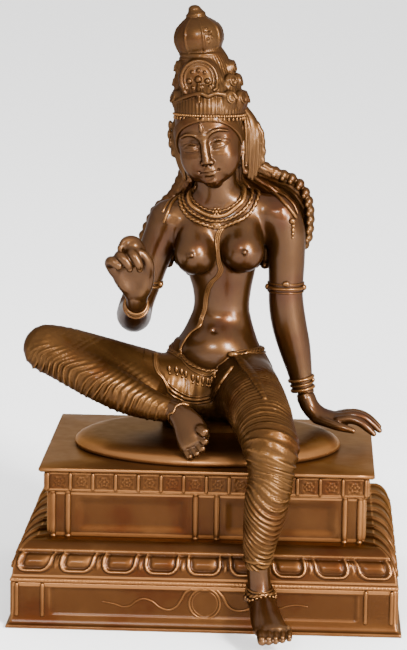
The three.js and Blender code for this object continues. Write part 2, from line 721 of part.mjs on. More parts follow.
function figure() {
  const parts = [
    cushion(),
    ...torso(),
    ...proppingArm(),
    ...raisedArm(),
    ...foldedLeg(),
    ...hangingLeg(),
    ...head(),
    ...hairKnot(),
    ...fallingHair(),
    ...jewellery(),
    ...girdle(),
  ];
  const foot = LOTUS_FLARE + FLANGE_FLARE + RESTING_GAP;
  const clearance = tiers([[RESTING_GAP, -SLAB_TOP], [RESTING_GAP, RESTING_GAP]]);
  const flared = tiers([[foot, -SLAB_TOP], [foot, LOTUS_Z - SLAB_TOP]]);
  const room = joined([clearance, flared], SEAM.figure);
  return joined(parts, SEAM.figure).subtract(room).translate([0, 0, SLAB_TOP]);
}

const bronze = new THREE.MeshStandardMaterial({ color: 0x6b4220, roughness: 0.38, metalness: 0.9 });
const part = new THREE.Group();
part.add(meshOf("pedestal", whole(pedestal()), bronze), meshOf("figure", whole(figure()), bronze.clone()));

export default part;
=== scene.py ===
import math

import bpy
import numpy as np
import openvdb
from mathutils import Euler, Matrix, Vector


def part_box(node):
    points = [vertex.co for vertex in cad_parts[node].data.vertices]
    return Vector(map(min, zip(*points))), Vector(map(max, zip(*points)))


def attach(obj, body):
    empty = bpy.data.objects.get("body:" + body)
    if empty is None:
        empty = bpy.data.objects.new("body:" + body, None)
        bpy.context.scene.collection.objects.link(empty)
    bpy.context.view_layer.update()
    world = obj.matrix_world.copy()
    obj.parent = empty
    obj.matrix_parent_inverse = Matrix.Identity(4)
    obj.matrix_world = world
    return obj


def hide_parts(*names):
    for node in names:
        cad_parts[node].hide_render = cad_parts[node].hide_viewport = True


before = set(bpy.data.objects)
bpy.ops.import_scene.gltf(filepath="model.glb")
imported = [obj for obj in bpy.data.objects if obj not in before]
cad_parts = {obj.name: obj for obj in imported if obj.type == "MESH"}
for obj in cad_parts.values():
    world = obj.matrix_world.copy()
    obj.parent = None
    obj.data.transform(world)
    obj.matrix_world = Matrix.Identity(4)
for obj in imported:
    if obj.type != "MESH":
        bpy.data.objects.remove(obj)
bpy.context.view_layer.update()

MM = 0.001
SLAB_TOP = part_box("pedestal")[1].z / MM
SLAB_WIDTH, SLAB_DEPTH = 170.0, 131.0
LOTUS_FLARE = 12.0
BLOCK_FACE = -(SLAB_DEPTH / 2 + LOTUS_FLARE)
# How far the skin is smoothed to find its fine and its broad hollows.
REACH = {"fine": 0.9, "broad": 3.0}
# The share of the way to the skin that a point goes in one step.
SETTLE = 0.8

# ---------------------------------------------------------------- lines and lofts


def unit(v):
    """Vectors brought to a length of 1."""
    return v / np.maximum(np.linalg.norm(v, axis=-1, keepdims=True), 1e-9)


def travelled(points):
    """How far each of some points lies along the line through them."""
    return np.r_[0, np.cumsum(np.linalg.norm(np.diff(points, axis=0), axis=1))]


def curve(points, spacing=1.0, count=None):
    """Rows of numbers, of which the first three are a point, on a smooth line through the given rows."""
    p = np.array(points, float)
    gaps = np.linalg.norm(np.diff(p[:, :3], axis=0), axis=1) ** 0.5
    t = np.r_[0, np.cumsum(np.maximum(gaps, 1e-3))]
    m = np.gradient(p, t, axis=0) if len(p) > 2 else np.repeat((p[1:] - p[:1]) / t[1], 2, 0)
    fine = np.linspace(0, t[-1], 30 * (len(p) - 1) + 1)
    i = np.clip(np.searchsorted(t, fine, side="right") - 1, 0, len(p) - 2)
    h = (t[i + 1] - t[i])[:, None]
    s = (fine - t[i])[:, None] / h
    q = (2 * s**3 - 3 * s**2 + 1) * p[i] + (s**3 - 2 * s**2 + s) * h * m[i]
    q += (3 * s**2 - 2 * s**3) * p[i + 1] + (s**3 - s**2) * h * m[i + 1]
    d = travelled(q[:, :3])
    n = count or max(4, int(d[-1] / spacing) + 1)
    at = np.linspace(0, d[-1], n)
    return np.stack([np.interp(at, d, column) for column in q.T], 1)


def closed(rings):
    """A closed skin over rings of points: vertices and faces."""
    n, m = rings.shape[:2]
    verts = np.concatenate([rings.reshape(-1, 3), rings[0].mean(0)[None], rings[-1].mean(0)[None]])
    i, j = (g.ravel() for g in np.meshgrid(np.arange(n - 1), np.arange(m), indexing="ij"))
    a, b = i * m + j, i * m + (j + 1) % m
    quads = np.stack([a, b, b + m, a + m], 1)
    j = np.arange(m)
    k = (j + 1) % m
    low = np.stack([np.full(m, n * m), k, j], 1)
    high = np.stack([np.full(m, n * m + 1), (n - 1) * m + j, (n - 1) * m + k], 1)
    return verts, quads, np.concatenate([low, high])


def limb(stations, across=(1, 0, 0), spacing=1.0, sides=40, relief=None, ends=(1, 1)):
    """A limb through stations of x, y, z, half width and half depth, where one number does for both.
    `relief` gives how far its skin stands out for a share of its length and an angle round it, and `ends`
    how round its caps are."""
    rows = np.array([list(s) + [s[3]] * (len(s) == 4) for s in stations], float)
    q = curve(rows, spacing)
    c, a, b = q[:, :3], q[:, 3:4], q[:, 4:5]
    t = unit(np.gradient(c, axis=0))
    across = np.array(across, float)
    u = unit(across - (t @ across)[:, None] * t)
    v = np.cross(t, u)
    s = np.linspace(0, 1, len(q))[:, None]
    angle = np.linspace(0, 2 * np.pi, sides, endpoint=False)[None]
    out = relief(s, angle) if relief else np.zeros((len(q), sides))
    flat = ((a + out) * np.cos(angle))[..., None] * u[:, None]
    flat = flat + ((b + out) * np.sin(angle))[..., None] * v[:, None]
    rings = [c[:, None] + flat]
    caps = np.radians([28, 52, 70, 82])
    for index, way, roundness in ((0, -1, ends[0]), (-1, 1, ends[1])):
        if not roundness:
            continue
        reach = min(a[index, 0], b[index, 0]) * roundness
        step = t[index] * way * reach
        ring = np.stack([c[index] + flat[index] * math.cos(p) + step * math.sin(p) for p in caps])
        rings = [ring[::-1], *rings] if way < 0 else [*rings, ring]
    return closed(np.concatenate(rings))


def ball(centre, radii, turn=(0, 0, 0), detail=16):
    """An ellipsoid, turned by degrees about x, y and z."""
    radii = np.broadcast_to(np.array(radii, float), 3)
    polar = np.linspace(0.12, np.pi - 0.12, detail)[:, None]
    angle = np.linspace(0, 2 * np.pi, 2 * detail, endpoint=False)[None]
    flat, level = np.sin(polar), -np.cos(polar) + 0 * angle
    rings = np.stack([flat * np.cos(angle), flat * np.sin(angle), level], -1)
    verts, quads, tris = closed(rings)
    verts[-2:] = [[0, 0, -1], [0, 0, 1]]
    verts = verts * radii
    if any(turn):
        verts = verts @ np.array(Euler([math.radians(d) for d in turn]).to_matrix()).T
    return verts + np.array(centre, float), quads, tris


def tube(points, radius, sides=10):
    """A round cord. `radius` is a number or a row of numbers, one for each point."""
    radius = np.broadcast_to(np.array(radius, float), len(points))
    t = np.array(points[-1], float) - np.array(points[0], float)
    across = np.eye(3)[np.argmin(np.abs(t))]
    return limb([[*p, r] for p, r in zip(points, radius)], across, 0.5, sides)


def strand(line, radius, across=(0, 0.3, 1), spacing=1.0, sides=10, relief=None):
    """A cord of one radius along a line whose points lie close together."""
    return limb([[*p[:3], radius] for p in line], across, spacing, sides, relief)


def ease(x, low, high):
    """0 below a low number, 1 above a high one, and a soft step between them."""
    t = np.clip((x - low) / (high - low), 0, 1)
    return t * t * (3 - 2 * t)


def bell(x, width):
    """1 at 0, falling to nothing on both sides."""
    return np.exp(-((x / width) ** 2))


def circle(radius):
    """Pairs of numbers round a circle, back to the first."""
    return [(radius * math.cos(a), radius * math.sin(a)) for a in np.linspace(0, 2 * math.pi, 49)]


def ring_points(centre, axis, radius):
    """Points round a closed ring about an axis."""
    axis = unit(np.array(axis, float))
    u = unit(np.cross(axis, [0, 1, 0.01]))
    v = np.cross(axis, u)
    return [centre + a * u + b * v for a, b in circle(radius)]


# ---------------------------------------------------------------- clay


def smin(a, b, r):
    """The lower of two distances, with the corner between them rounded by r."""
    h = np.maximum(r - np.abs(a - b), 0) / max(r, 1e-6)
    return np.minimum(a, b) - h * h * r * 0.25


class Clay:
    """A solid kept as distances to its skin, in millimetres, on a grid of points."""

    def __init__(self, low, high, pitch, band):
        self.pitch, self.band = pitch, band
        self.start = np.floor(np.array(low) / pitch).astype(int) - 3
        size = np.ceil(np.array(high) / pitch).astype(int) + 3 - self.start
        self.field = np.full(size, band, np.float32)

    def _stamp(self, shape):
        """The part of the grid near a closed shape, and the distances to it there."""
        verts, quads, tris = shape
        low = np.floor((verts.min(0) - self.band) / self.pitch).astype(int)
        high = np.ceil((verts.max(0) + self.band) / self.pitch).astype(int)
        low = np.clip(low - self.start, 0, self.field.shape)
        high = np.clip(high - self.start, 0, self.field.shape)
        grid = openvdb.FloatGrid.createLevelSetFromPolygons(
            verts.astype(np.float32), triangles=tris.astype(np.uint32), quads=quads.astype(np.uint32),
            transform=openvdb.createLinearTransform(self.pitch), halfWidth=self.band / self.pitch,
        )
        block = np.empty(np.maximum(high - low, 0), np.float32)
        if block.size:
            grid.copyToArray(block, ijk=tuple(int(n) for n in low + self.start))
        return tuple(slice(a, b) for a, b in zip(low, high)), block

    def add(self, *shapes, blend=1.0):
        """Joins shapes to the solid one by one, with their corners filled by `blend`."""
        for shape in shapes:
            where, block = self._stamp(shape)
            self.field[where] = smin(self.field[where], block, blend)

    def cut(self, *shapes, blend=1.0):
        """Takes shapes away from the solid."""
        for shape in shapes:
            where, block = self._stamp(shape)
            self.field[where] = -smin(-self.field[where], block, blend)

    def distance(self, points):
        """The distance at points, by straight interpolation."""
        p = np.array(points, float) / self.pitch - self.start
        top = np.array(self.field.shape) - 1.001
        outside = ((p < 0) | (p > top)).any(1)
        p = np.clip(p, 0, top)
        i = p.astype(int)
        f = p - i
        total = 0
        for corner in np.ndindex(2, 2, 2):
            w = np.prod(np.where(corner, f, 1 - f), axis=1)
            total = total + w * self.field[tuple((i + corner).T)]
        return np.where(outside, self.band, total)

    def normal(self, points):
        """The way out of the solid at points."""
        steps = np.eye(3) * 0.8 * self.pitch
        p = np.array(points, float)
        return unit(np.stack([self.distance(p + s) - self.distance(p - s) for s in steps], 1))

    def rest(self, points, lift=0.0):
        """Points moved onto the skin, or `lift` off it."""
        p = np.array(points, float)
        for _ in range(12):
            p[:, :3] -= self.normal(p[:, :3]) * (self.distance(p[:, :3]) - lift)[:, None] * SETTLE
        return p

    def emboss(self, height, reach=1.7):
        """Raises the skin by `height` of the points, in millimetres, near the skin alone."""
        near = np.argwhere(np.abs(self.field) < reach)
        self.field[tuple(near.T)] -= height((near + self.start) * self.pitch).astype(np.float32)

    def trim(self, axis, limit, way):
        """Takes away what lies beyond a limit on an axis."""
        shape = [1, 1, 1]
        shape[axis] = -1
        place = ((np.arange(self.field.shape[axis]) + self.start[axis]) * self.pitch).reshape(shape)
        self.field = np.maximum(self.field, ((place - limit) * way).astype(np.float32))

    def blurred(self, reach):
        """The distances averaged over a box of about twice `reach`, held at what the band holds."""
        out = np.clip(self.field, -self.band, self.band)
        half = max(1, round(reach / self.pitch))
        for axis in range(3):
            margin = [(half + 1, half) if a == axis else (0, 0) for a in range(3)]
            run = np.cumsum(np.pad(out, margin, mode="edge"), axis=axis, dtype=np.float64)
            n = out.shape[axis]
            high = np.take(run, range(2 * half + 1, 2 * half + 1 + n), axis=axis)
            low = np.take(run, range(n), axis=axis)
            out = ((high - low) / (2 * half + 1)).astype(np.float32)
        return out

    def skin(self, adaptivity):
        """A dict of vertices in millimetres, faces that face out, normals and hollowness."""
        grid = openvdb.FloatGrid(background=float(self.band))
        grid.copyFromArray(self.field)
        points, tris, quads = grid.convertToPolygons(isovalue=0.0, adaptivity=adaptivity)
        verts = (points + self.start) * self.pitch
        a, b, c = (verts[quads[:, n]] for n in (0, 1, 2))
        if np.einsum("ij,ij->", a, np.cross(b, c)) < 0:
            quads, tris = quads[:, ::-1], tris[:, ::-1]
        hollow = {}
        sharp = self.field
        for label, reach in REACH.items():
            self.field = self.blurred(reach)
            hollow[label] = -self.distance(verts)
            self.field = sharp
        return {"verts": verts, "faces": [quads, tris], "normals": self.normal(verts), **hollow}


def laid(clays, points, lift=0.0, spacing=1.2):
    """A smooth line through points, moved onto the outermost of some skins, or `lift` off it."""
    p = curve(points, spacing)[:, :3]

    def distance(q):
        return np.min([clay.distance(q) for clay in clays], axis=0)

    for _ in range(10):
        slope = np.stack([distance(p + e) - distance(p - e) for e in np.eye(3) * 0.6], 1)
        p = p - unit(slope) * (distance(p) - lift)[:, None] * SETTLE
    return curve(p, spacing)


def around(points, back):
    """A closed line: the points in front, then those behind, and back to the start."""
    return [*back[len(back) // 2 :], *points, *back[: len(back) // 2 + 1]]


# ---------------------------------------------------------------- meshes and materials


def hollowness(verts, faces, reach):
    """How far each vertex lies below the skin smoothed over `reach`, in millimetres: above 0 in hollows
    and below 0 on edges that stand out."""
    e = [np.stack([f, np.roll(f, -1, axis=1)], -1).reshape(-1, 2) for f in faces]
    e = np.unique(np.sort(np.concatenate(e), axis=1), axis=0)
    n = len(verts)
    length = np.linalg.norm(verts[e[:, 0]] - verts[e[:, 1]], axis=1).mean()
    rounds = int(np.clip((reach / max(length, 1e-6)) ** 2, 3, 60))
    ends = np.concatenate([e[:, 0], e[:, 1]])
    others = np.concatenate([e[:, 1], e[:, 0]])
    count = np.maximum(np.bincount(ends, minlength=n), 1)
    p = verts.copy()
    for _ in range(rounds):
        p = np.stack([np.bincount(ends, weights=p[others, k], minlength=n) / count for k in range(3)], 1)
    normal = np.zeros((n, 3))
    for f in faces:
        out = np.cross(verts[f[:, 2]] - verts[f[:, 0]], verts[f[:, -1]] - verts[f[:, 1]])
        for k in range(f.shape[1]):
            for axis in range(3):
                normal[:, axis] += np.bincount(f[:, k], weights=out[:, axis], minlength=n)
    return np.einsum("ij,ij->i", p - verts, unit(normal))


def linked(name, data):
    """A new object in the scene."""
    thing = bpy.data.objects.new(name, data)
    bpy.context.scene.collection.objects.link(thing)
    return thing


def piece(name, shapes, slot, material, base=SLAB_TOP, matrix=Matrix()):
    """One object made of shapes in drawn millimetres, whose heights are counted from `base`."""
    parts = []
    for shape in [shapes] if isinstance(shapes, (dict, tuple)) else shapes:
        if not isinstance(shape, dict):
            verts, *groups = shape
            shape = {"verts": verts, "faces": groups}
            shape.update({label: hollowness(verts, groups, reach) for label, reach in REACH.items()})
        parts.append(shape)
    offsets = np.cumsum([0] + [len(part["verts"]) for part in parts])
    verts = np.concatenate([part["verts"] for part in parts])
    faces = [np.asarray(g, np.int64) + o for part, o in zip(parts, offsets) for g in part["faces"] if len(g)]
    m = np.array(matrix)
    verts = verts @ m[:3, :3].T + m[:3, 3]
    mesh = bpy.data.meshes.new(name)
    loops = np.concatenate([f.ravel() for f in faces])
    sizes = np.concatenate([np.full(len(f), f.shape[1]) for f in faces])
    mesh.vertices.add(len(verts))
    mesh.vertices.foreach_set("co", ((verts + [0, 0, base]) * MM).astype(np.float32).ravel())
    mesh.loops.add(len(loops))
    mesh.loops.foreach_set("vertex_index", loops.astype(np.int32))
    mesh.polygons.add(len(sizes))
    mesh.polygons.foreach_set("loop_start", np.r_[0, np.cumsum(sizes)[:-1]].astype(np.int32))
    mesh.update(calc_edges=True)
    mesh.validate()
    mesh.polygons.foreach_set("use_smooth", np.ones(len(mesh.polygons), bool))
    for label in REACH:
        values = np.concatenate([part[label] for part in parts]).astype(np.float32)
        mesh.attributes.new(label, "FLOAT", "POINT").data.foreach_set("value", values)
    if len(parts) == 1 and "normals" in parts[0]:
        normals = parts[0]["normals"] @ m[:3, :3].T
        mesh.normals_split_custom_set_from_vertices(normals.tolist())
    mesh.materials.append(material)
    thing = linked(name, mesh)
    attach(thing, "root")
    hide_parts(slot)


def ramp(nodes, links, value, stops):
    """A colour that depends on a value, by stops of place and colour."""
    node = nodes.new("ShaderNodeValToRGB")
    node.color_ramp.interpolation = "EASE"
    while len(node.color_ramp.elements) < len(stops):
        node.color_ramp.elements.new(0.5)
    for element, (place, colour) in zip(node.color_ramp.elements, stops):
        element.position = place
        element.color = (*colour, 1)
    links.new(value, node.inputs[0])
    return node.outputs[0]


def bronze(name, skin, worn, dark, roughness, edge_gain, brushed, coat, sink, glance=(0.46, 0.46, 0.47)):
    """Polished bronze under a brown patina: `dark` in hollows, as far as `sink` says, with painted shade of
    the same `dark` in creases and joins between parts, and rubbed to the `worn` colour where it stands out,
    as far as `edge_gain` says. `brushed` stretches the fine scratches, and `glance` tints what the metal
    mirrors at a flat angle."""
    material = bpy.data.materials.new(name)
    material.use_nodes = True
    nodes, links = material.node_tree.nodes, material.node_tree.links
    shader = nodes["Principled BSDF"]
    shader.inputs["Metallic"].default_value = 0.85
    shader.inputs["Specular IOR Level"].default_value = 0.0
    shader.inputs["Specular Tint"].default_value = (*glance, 1)
    shader.inputs["Coat Weight"].default_value = coat
    shader.inputs["Coat Roughness"].default_value = 0.19
    shader.inputs["Coat IOR"].default_value = 2.2
    place = nodes.new("ShaderNodeTexCoord").outputs["Object"]

    def noise(scale, detail, stretch=(1, 1, 1)):
        mapping = nodes.new("ShaderNodeMapping")
        mapping.inputs["Scale"].default_value = stretch
        links.new(place, mapping.inputs[0])
        node = nodes.new("ShaderNodeTexNoise")
        node.inputs["Scale"].default_value = scale
        node.inputs["Detail"].default_value = detail
        links.new(mapping.outputs[0], node.inputs["Vector"])
        return node.outputs[0]

    def calc(kind, *values, clamp=False):
        node = nodes.new("ShaderNodeMath")
        node.operation = kind
        node.use_clamp = clamp
        for socket, value in zip(node.inputs, values):
            if isinstance(value, (int, float)):
                socket.default_value = value
            else:
                links.new(value, socket)
        return node.outputs[0]

    def mix(factor, a, b):
        node = nodes.new("ShaderNodeMix")
        node.data_type = "RGBA"
        links.new(factor, node.inputs[0])
        links.new(a, node.inputs[6])
        node.inputs[7].default_value = (*b, 1)
        return node.outputs[2]

    def attribute(label):
        node = nodes.new("ShaderNodeAttribute")
        node.attribute_name = label
        return node.outputs["Fac"]

    fine, broad = attribute("fine"), attribute("broad")
    patches, grime = noise(45, 4), noise(420, 5)
    hollow = calc("ADD", calc("MULTIPLY", fine, sink), calc("MULTIPLY", broad, 0.22))
    hollow = calc("ADD", hollow, calc("MULTIPLY_ADD", grime, 0.4, -0.24), clamp=True)
    edge = calc("ADD", calc("MULTIPLY", fine, -edge_gain), calc("MULTIPLY", broad, -0.04 * edge_gain))
    edge = calc("ADD", edge, calc("MULTIPLY_ADD", patches, 0.7, -0.48), clamp=True)
    # Painted shade: ambient occlusion over 3 mm darkens creases and joins between parts towards `dark`, on
    # top of the patina in hollows.
    shade_occlusion = nodes.new("ShaderNodeAmbientOcclusion")
    shade_occlusion.samples = 8
    shade_occlusion.inputs["Distance"].default_value = 3 * MM
    painted_shade = calc("MULTIPLY", calc("SUBTRACT", 1.0, shade_occlusion.outputs["AO"]), 0.9, clamp=True)
    patina_and_painted_shade = calc("MAXIMUM", hollow, painted_shade)
    stops = ((0.3, (0.82, 0.62, 0.5)), (0.52, (1, 1, 1)), (0.75, (1.2, 1.3, 1.4)))
    tone = ramp(nodes, links, patches, [(at, [c * k for c, k in zip(skin, tint)]) for at, tint in stops])
    colour = mix(calc("MULTIPLY", patina_and_painted_shade, 0.82), mix(edge, tone, worn), dark)
    links.new(colour, shader.inputs["Base Color"])
    rough = calc("ADD", roughness, calc("MULTIPLY_ADD", noise(160, 4), 0.16, -0.08))
    rough = calc("ADD", rough, calc("MULTIPLY", patina_and_painted_shade, 0.15))
    rough = calc("SUBTRACT", rough, calc("MULTIPLY", edge, 0.1), clamp=True)
    links.new(rough, shader.inputs["Roughness"])
    bump = nodes.new("ShaderNodeBump")
    bump.inputs["Strength"].default_value = 0.3
    bump.inputs["Distance"].default_value = 0.2 * MM
    surface = calc("ADD", noise(230, 4), calc("MULTIPLY", noise(900, 2, brushed), 0.35))
    links.new(surface, bump.inputs["Height"])
    links.new(bump.outputs[0], shader.inputs["Normal"])
    return material


LONG, SHORT, LEVEL = (1, 1, 0.2), (1, 1, 0.4), (0.15, 0.15, 1)
# The colours of the skin, of worn edges and of hollows, the last also painted as shade in creases, then
# roughness, edge gain, scratches, coat, sink and, for the pedestal, glance.
METALS = {
    "figure": (
        (0.041, 0.0162, 0.004), (0.13, 0.056, 0.0165), (0.018, 0.0062, 0.0018), 0.34, 2.0, LONG, 0.07, 3.0,
    ),
    "face": (
        (0.044, 0.0175, 0.0044), (0.12, 0.053, 0.016), (0.024, 0.0087, 0.0026), 0.33, 1.3, LONG, 0.06, 3.0,
    ),
    "garment": (
        (0.046, 0.0192, 0.005), (0.125, 0.0545, 0.0165), (
            0.026, 0.0102, 0.0024
        ), 0.38, 1.8, SHORT, 0.022, 2.1,
    ),
    "hair": (
        (0.041, 0.0175, 0.0049), (0.086, 0.038, 0.012), (0.02, 0.0078, 0.0019), 0.39, 1.5, SHORT, 0.03, 2.6,
    ),
    "jewel": (
        (0.052, 0.0218, 0.0058), (0.18, 0.079, 0.024), (0.022, 0.008, 0.002), 0.34, 1.6, SHORT, 0.04, 3.0,
    ),
    "pedestal": (
        (0.038, 0.0134, 0.0032), (0.155, 0.064, 0.0205), (
            0.018, 0.0064, 0.0016
        ), 0.42, 2.2, LEVEL, 0.018, 3.0,
        (0.82, 0.64, 0.48),
    ),
}
metals = {name: bronze(name + "_bronze", *values) for name, values in METALS.items()}

# ---------------------------------------------------------------- torso and arms

torso = Clay((-60, -54, 10), (62, 36, 156), 0.62, band=5)
torso.add(
    limb(
        [
            [1, 13, 14, 27, 20], [2, 12.5, 33, 28, 19.5], [2.4, 12, 46, 25, 17.5],
            [3.2, 12.5, 58, 18.8, 14.5], [3.8, 13, 70, 14.9, 12.4], [4, 12.5, 80, 15.3, 12.3],
            [3.6, 11, 91, 18, 13], [2.8, 9.5, 103, 21.5, 14], [3, 9, 113, 24, 13.6], [3.2, 9, 121, 22, 11],
            [1.5, 9, 128, 14.5, 9], [0.8, 7.6, 133, 11, 9.6], [0, 6.4, 141, 10.6, 9.6],
            [-1, 5.4, 151, 10.4, 9.4],
        ],
        sides=72,
    )
)
torso.add(ball((1.4, 1.4, 48.5), (17, 11.4, 14), detail=40), blend=7)
SHOULDERS = [
    [-25, 9, 117.5, 9], [-13, 9, 123, 8], [2, 9, 126.5, 8.2], [20, 9.5, 125, 8], [33, 10, 120.5, 9.8]
]
torso.add(limb(SHOULDERS, across=(0, 1, 0)), blend=5)
torso.add(limb([[-13, 4, 117, 5.5], [-11, -0.5, 109, 8.5], [-10, -2, 104, 8]]), blend=5)
torso.add(limb([[16, 4, 119, 5.5], [15, -0.5, 111, 8.5], [15, -2, 106, 8]]), blend=5)
torso.add(
    ball((-10, -3.4, 101.6), (10.7, 11.4, 11.2), detail=44),
    ball((15, -3.6, 103.6), (11.2, 11.8, 11.4), detail=44), blend=2.2,
)
torso.add(
    ball((-11.2, -14.8, 102.4), (1.2, 1.2, 1.2)), ball((16.2, -15.5, 104.6), (1.3, 1.2, 1.3)), blend=1.1
)
torso.cut(ball((0.6, -5.6, 61), (1.1, 1.9, 1)), blend=1.4)
torso.add(
    limb(
        [
            [33.6, 10, 120.6, 10.4], [36.6, 10.8, 112, 10.6], [37.4, 11.2, 103, 10], [37.6, 12, 92, 9.5],
            [37.5, 12, 80, 9.1], [38.2, 12.6, 71, 9.3], [40, 13.2, 61, 9.2], [43, 14, 49, 8.4],
            [46, 14, 36, 6.5], [48, 14, 26.5, 5.5], [50.6, 13.7, 20.5, 5.3, 4.8],
        ]
    ),
    limb(
        [
            [-23.8, 8.4, 117.5, 9.8], [-28.6, 9, 107, 9.4], [-33, 9, 95, 8.8], [-37, 9, 83, 8.6],
            [-40.4, 8.6, 74, 8.8], [-41.6, 4, 68.8, 9.2], [-41.2, -5, 68.8, 9], [-40, -17, 72.4, 7.7],
            [-38.8, -28, 77, 6.1], [-38.1, -36, 80.8, 5.2], [-38, -39.5, 84, 4.9, 4.4],
        ]
    ),
    blend=4.5,
)

# ---------------------------------------------------------------- head

HEAD_TURN = Euler([math.radians(d) for d in (6, -11, -9)], "XYZ")
HEAD = Matrix.Translation((-3, 2.5, 160.2)) @ HEAD_TURN.to_matrix().to_4x4()


def sided(points, side):
    """Points as they are for side 1, and mirrored for side -1."""
    return [[p[0] * side, *p[1:]] for p in points]


def pair(centre, radii, spin=0, detail=16):
    """A ball on each side of the face."""
    return [ball((side * centre[0], *centre[1:]), radii, (0, 0, side * spin), detail) for side in (1, -1)]


def limbs(points, **form):
    """A limb on each side of the face."""
    return [limb(sided(points, side), **form) for side in (1, -1)]


face = Clay((-24, -26, -27), (24, 22, 24), 0.34, band=3.6)
face.add(
    limb(
        [
            [0, -9.4, -20.2, 4.4, 4.2], [0, -8, -18, 8, 7.6], [0, -6.2, -14.4, 11.7, 10.8],
            [0, -4.4, -9.5, 14.4, 13.2], [0, -2.8, -4, 16, 14.8], [0, -1.4, 2, 16.8, 15.8],
            [0, -0.2, 9, 16.8, 16.4], [0, 0.8, 16, 15.6, 15.8],
        ],
        sides=96, ends=(0.8, 0.6),
    )
)
face.add(*pair((7.8, -9.6, -7.4), (6.6, 6.6, 7.4), detail=30), blend=5)
face.add(
    *pair((6, -9.2, -13.2), (5.6, 5.6, 5.2), detail=28), ball((0, -12.4, -13), (5.8, 4.9, 4.8), detail=28),
    blend=4.5,
)
face.add(ball((0, -13, -18), (4.4, 4.2, 3.4), detail=24), blend=3)
face.cut(*pair((7.3, -19.2, 2), (5, 4.2, 2.7), detail=24), blend=4)
NOSE = [[0, -16.2, 5.6, 1.5, 1.1], [0, -17.2, 0.6, 1.3, 1.4], [0, -18.9, -5, 1.6, 1.8]]
face.add(limb(NOSE, spacing=0.5, sides=24), blend=2.6)
face.add(ball((0, -19.4, -7.2), (1.8, 1.8, 1.6), detail=20), blend=1.5)
face.add(*pair((2.3, -17.8, -8), (1.4, 1.8, 1.2)), blend=1.1)
face.cut(*pair((1.2, -18.2, -9.5), (0.55, 0.9, 0.4)), blend=0.5)
face.add(*pair((7.2, -13.1, -0.2), (4.5, 3.3, 2.7), spin=15, detail=28), blend=0.9)
BROW = [[2, -16.6, 5.2, 0.3], [4.8, -16.7, 7, 0.55], [8.6, -15.6, 7.6, 0.55], [12.8, -12.6, 5.8, 0.25]]
UPPER_LID = [
    [3, -15.6, -1.3, 0.2], [5, -16.5, -1.1, 0.3], [7.4, -16.5, -1.2, 0.34], [9.9, -15, -0.9, 0.3],
    [12, -12.8, -0.4, 0.18],
]
SLIT = [
    [3.1, -15.9, -1.8, 0.12], [5.1, -16.7, -1.8, 0.2], [7.4, -16.6, -1.95, 0.24], [9.9, -15.1, -1.6, 0.2],
    [12, -12.9, -0.9, 0.1],
]
LOWER_LID = [
    [3.2, -15.7, -2.3, 0.2], [5.2, -16.3, -2.7, 0.26], [7.4, -16, -2.9, 0.28], [9.8, -14.6, -2.5, 0.24],
    [11.8, -12.6, -1.4, 0.15],
]
LID_FOLD = [[3.2, -16, 0.9, 0.15], [6.2, -16.2, 2.5, 0.24], [9.4, -14.9, 2.4, 0.24], [12.2, -12.6, 0.9, 0.15]]
for line, blend in ((BROW, 1.8), (UPPER_LID, 0.6), (LOWER_LID, 0.7), (LID_FOLD, 1)):
    face.add(*limbs(line, spacing=0.35, sides=12), blend=blend)
face.cut(*limbs(SLIT, spacing=0.3, sides=10), blend=0.35)
UPPER_LIP = [
    [-4.4, -15.9, -12.7, 0.25], [-2.4, -17.2, -12.3, 0.55], [-0.8, -17.8, -11.9, 0.7], [0, -17.7, -12.1, 0.65]
]
LOWER_LIP = [[-3.8, -15.9, -13.4, 0.3], [-2, -17.1, -13.9, 0.75], [0, -17.5, -14.2, 0.95]]
for lip in (UPPER_LIP, LOWER_LIP):
    face.add(limb(lip + sided(lip[-2::-1], -1), across=(0, 0, 1), spacing=0.35, sides=16), blend=0.9)
MOUTH = [
    [-4.6, -16.3, -12.8, 0.14], [-2.2, -18, -13.1, 0.2], [0, -18.6, -13.2, 0.22], [2.2, -18, -13.1, 0.2],
    [4.6, -16.3, -12.8, 0.14],
]
corners = pair((5, -16.9, -12.7), (0.7, 0.8, 0.6), detail=12)
face.cut(limb(MOUTH, across=(0, 0, 1), spacing=0.3, sides=10), *corners, blend=0.6)
face.cut(ball((0, -18.8, -16.3), (2.6, 1.3, 0.6)), blend=1.8)
face.add(
    ball((0, -16.9, 9.4), (1.15, 1.1, 2.1), detail=18), ball((0, -16.9, 11.4), (0.6, 0.8, 1.4), detail=12),
    blend=0.25,
)
EAR = [
    [16.4, -1.5, 3.4, 0.8], [17, 0.6, 6, 0.9], [17.3, 3, 4.6, 0.9], [17, 3, 0, 0.8], [16.4, 1.4, -5, 0.9],
    [15.8, 0, -9, 1.1],
]
LOBE = [
    [15.8, 0, -8.6, 1], [16, 2.4, -12, 0.8], [15.2, 2.2, -17, 0.9], [14.6, -0.6, -18, 0.9],
    [15, -2, -13.4, 0.8], [15.8, 0, -8.6, 1],
]
for side in (1, -1):
    face.add(
        limb(sided(EAR, side), across=(0, 1, 0), spacing=0.4, sides=12),
        ball((side * 16.2, 0.8, 1.4), (1.2, 2.4, 4.4)), limb(sided(LOBE, side), spacing=0.4, sides=12),
        ball((side * 14.8, 0.2, -19), 1.9, detail=20), blend=0.8,
    )

HAIRLINE = [
    [0.6, -16, 13.8], [4.6, -15.6, 13.2], [8.6, -14, 11.8], [12, -11.4, 9.4], [14.4, -8.6, 6],
    [16, -5.4, 1.4], [16.6, -3, -3],
]
hairline = Clay((-22, -22, -8), (22, 8, 22), 0.4, band=3)
for side in (1, -1):
    for n in range(4):
        line = face.rest(np.array(sided(HAIRLINE, side)) + [0.6 * n * side, 1.1 * n, 0.45 * n], 0.25)
        hairline.add(strand(line, 0.95, (0, 0, 1), 0.5, 14), blend=0.35)

# ---------------------------------------------------------------- hair


def fluted(count, depth, twist=0.0):
    """Grooves that run along a limb."""
    return lambda s, a: depth * (np.abs(np.cos(0.5 * count * (a + twist * s))) ** 0.7 - 0.6)


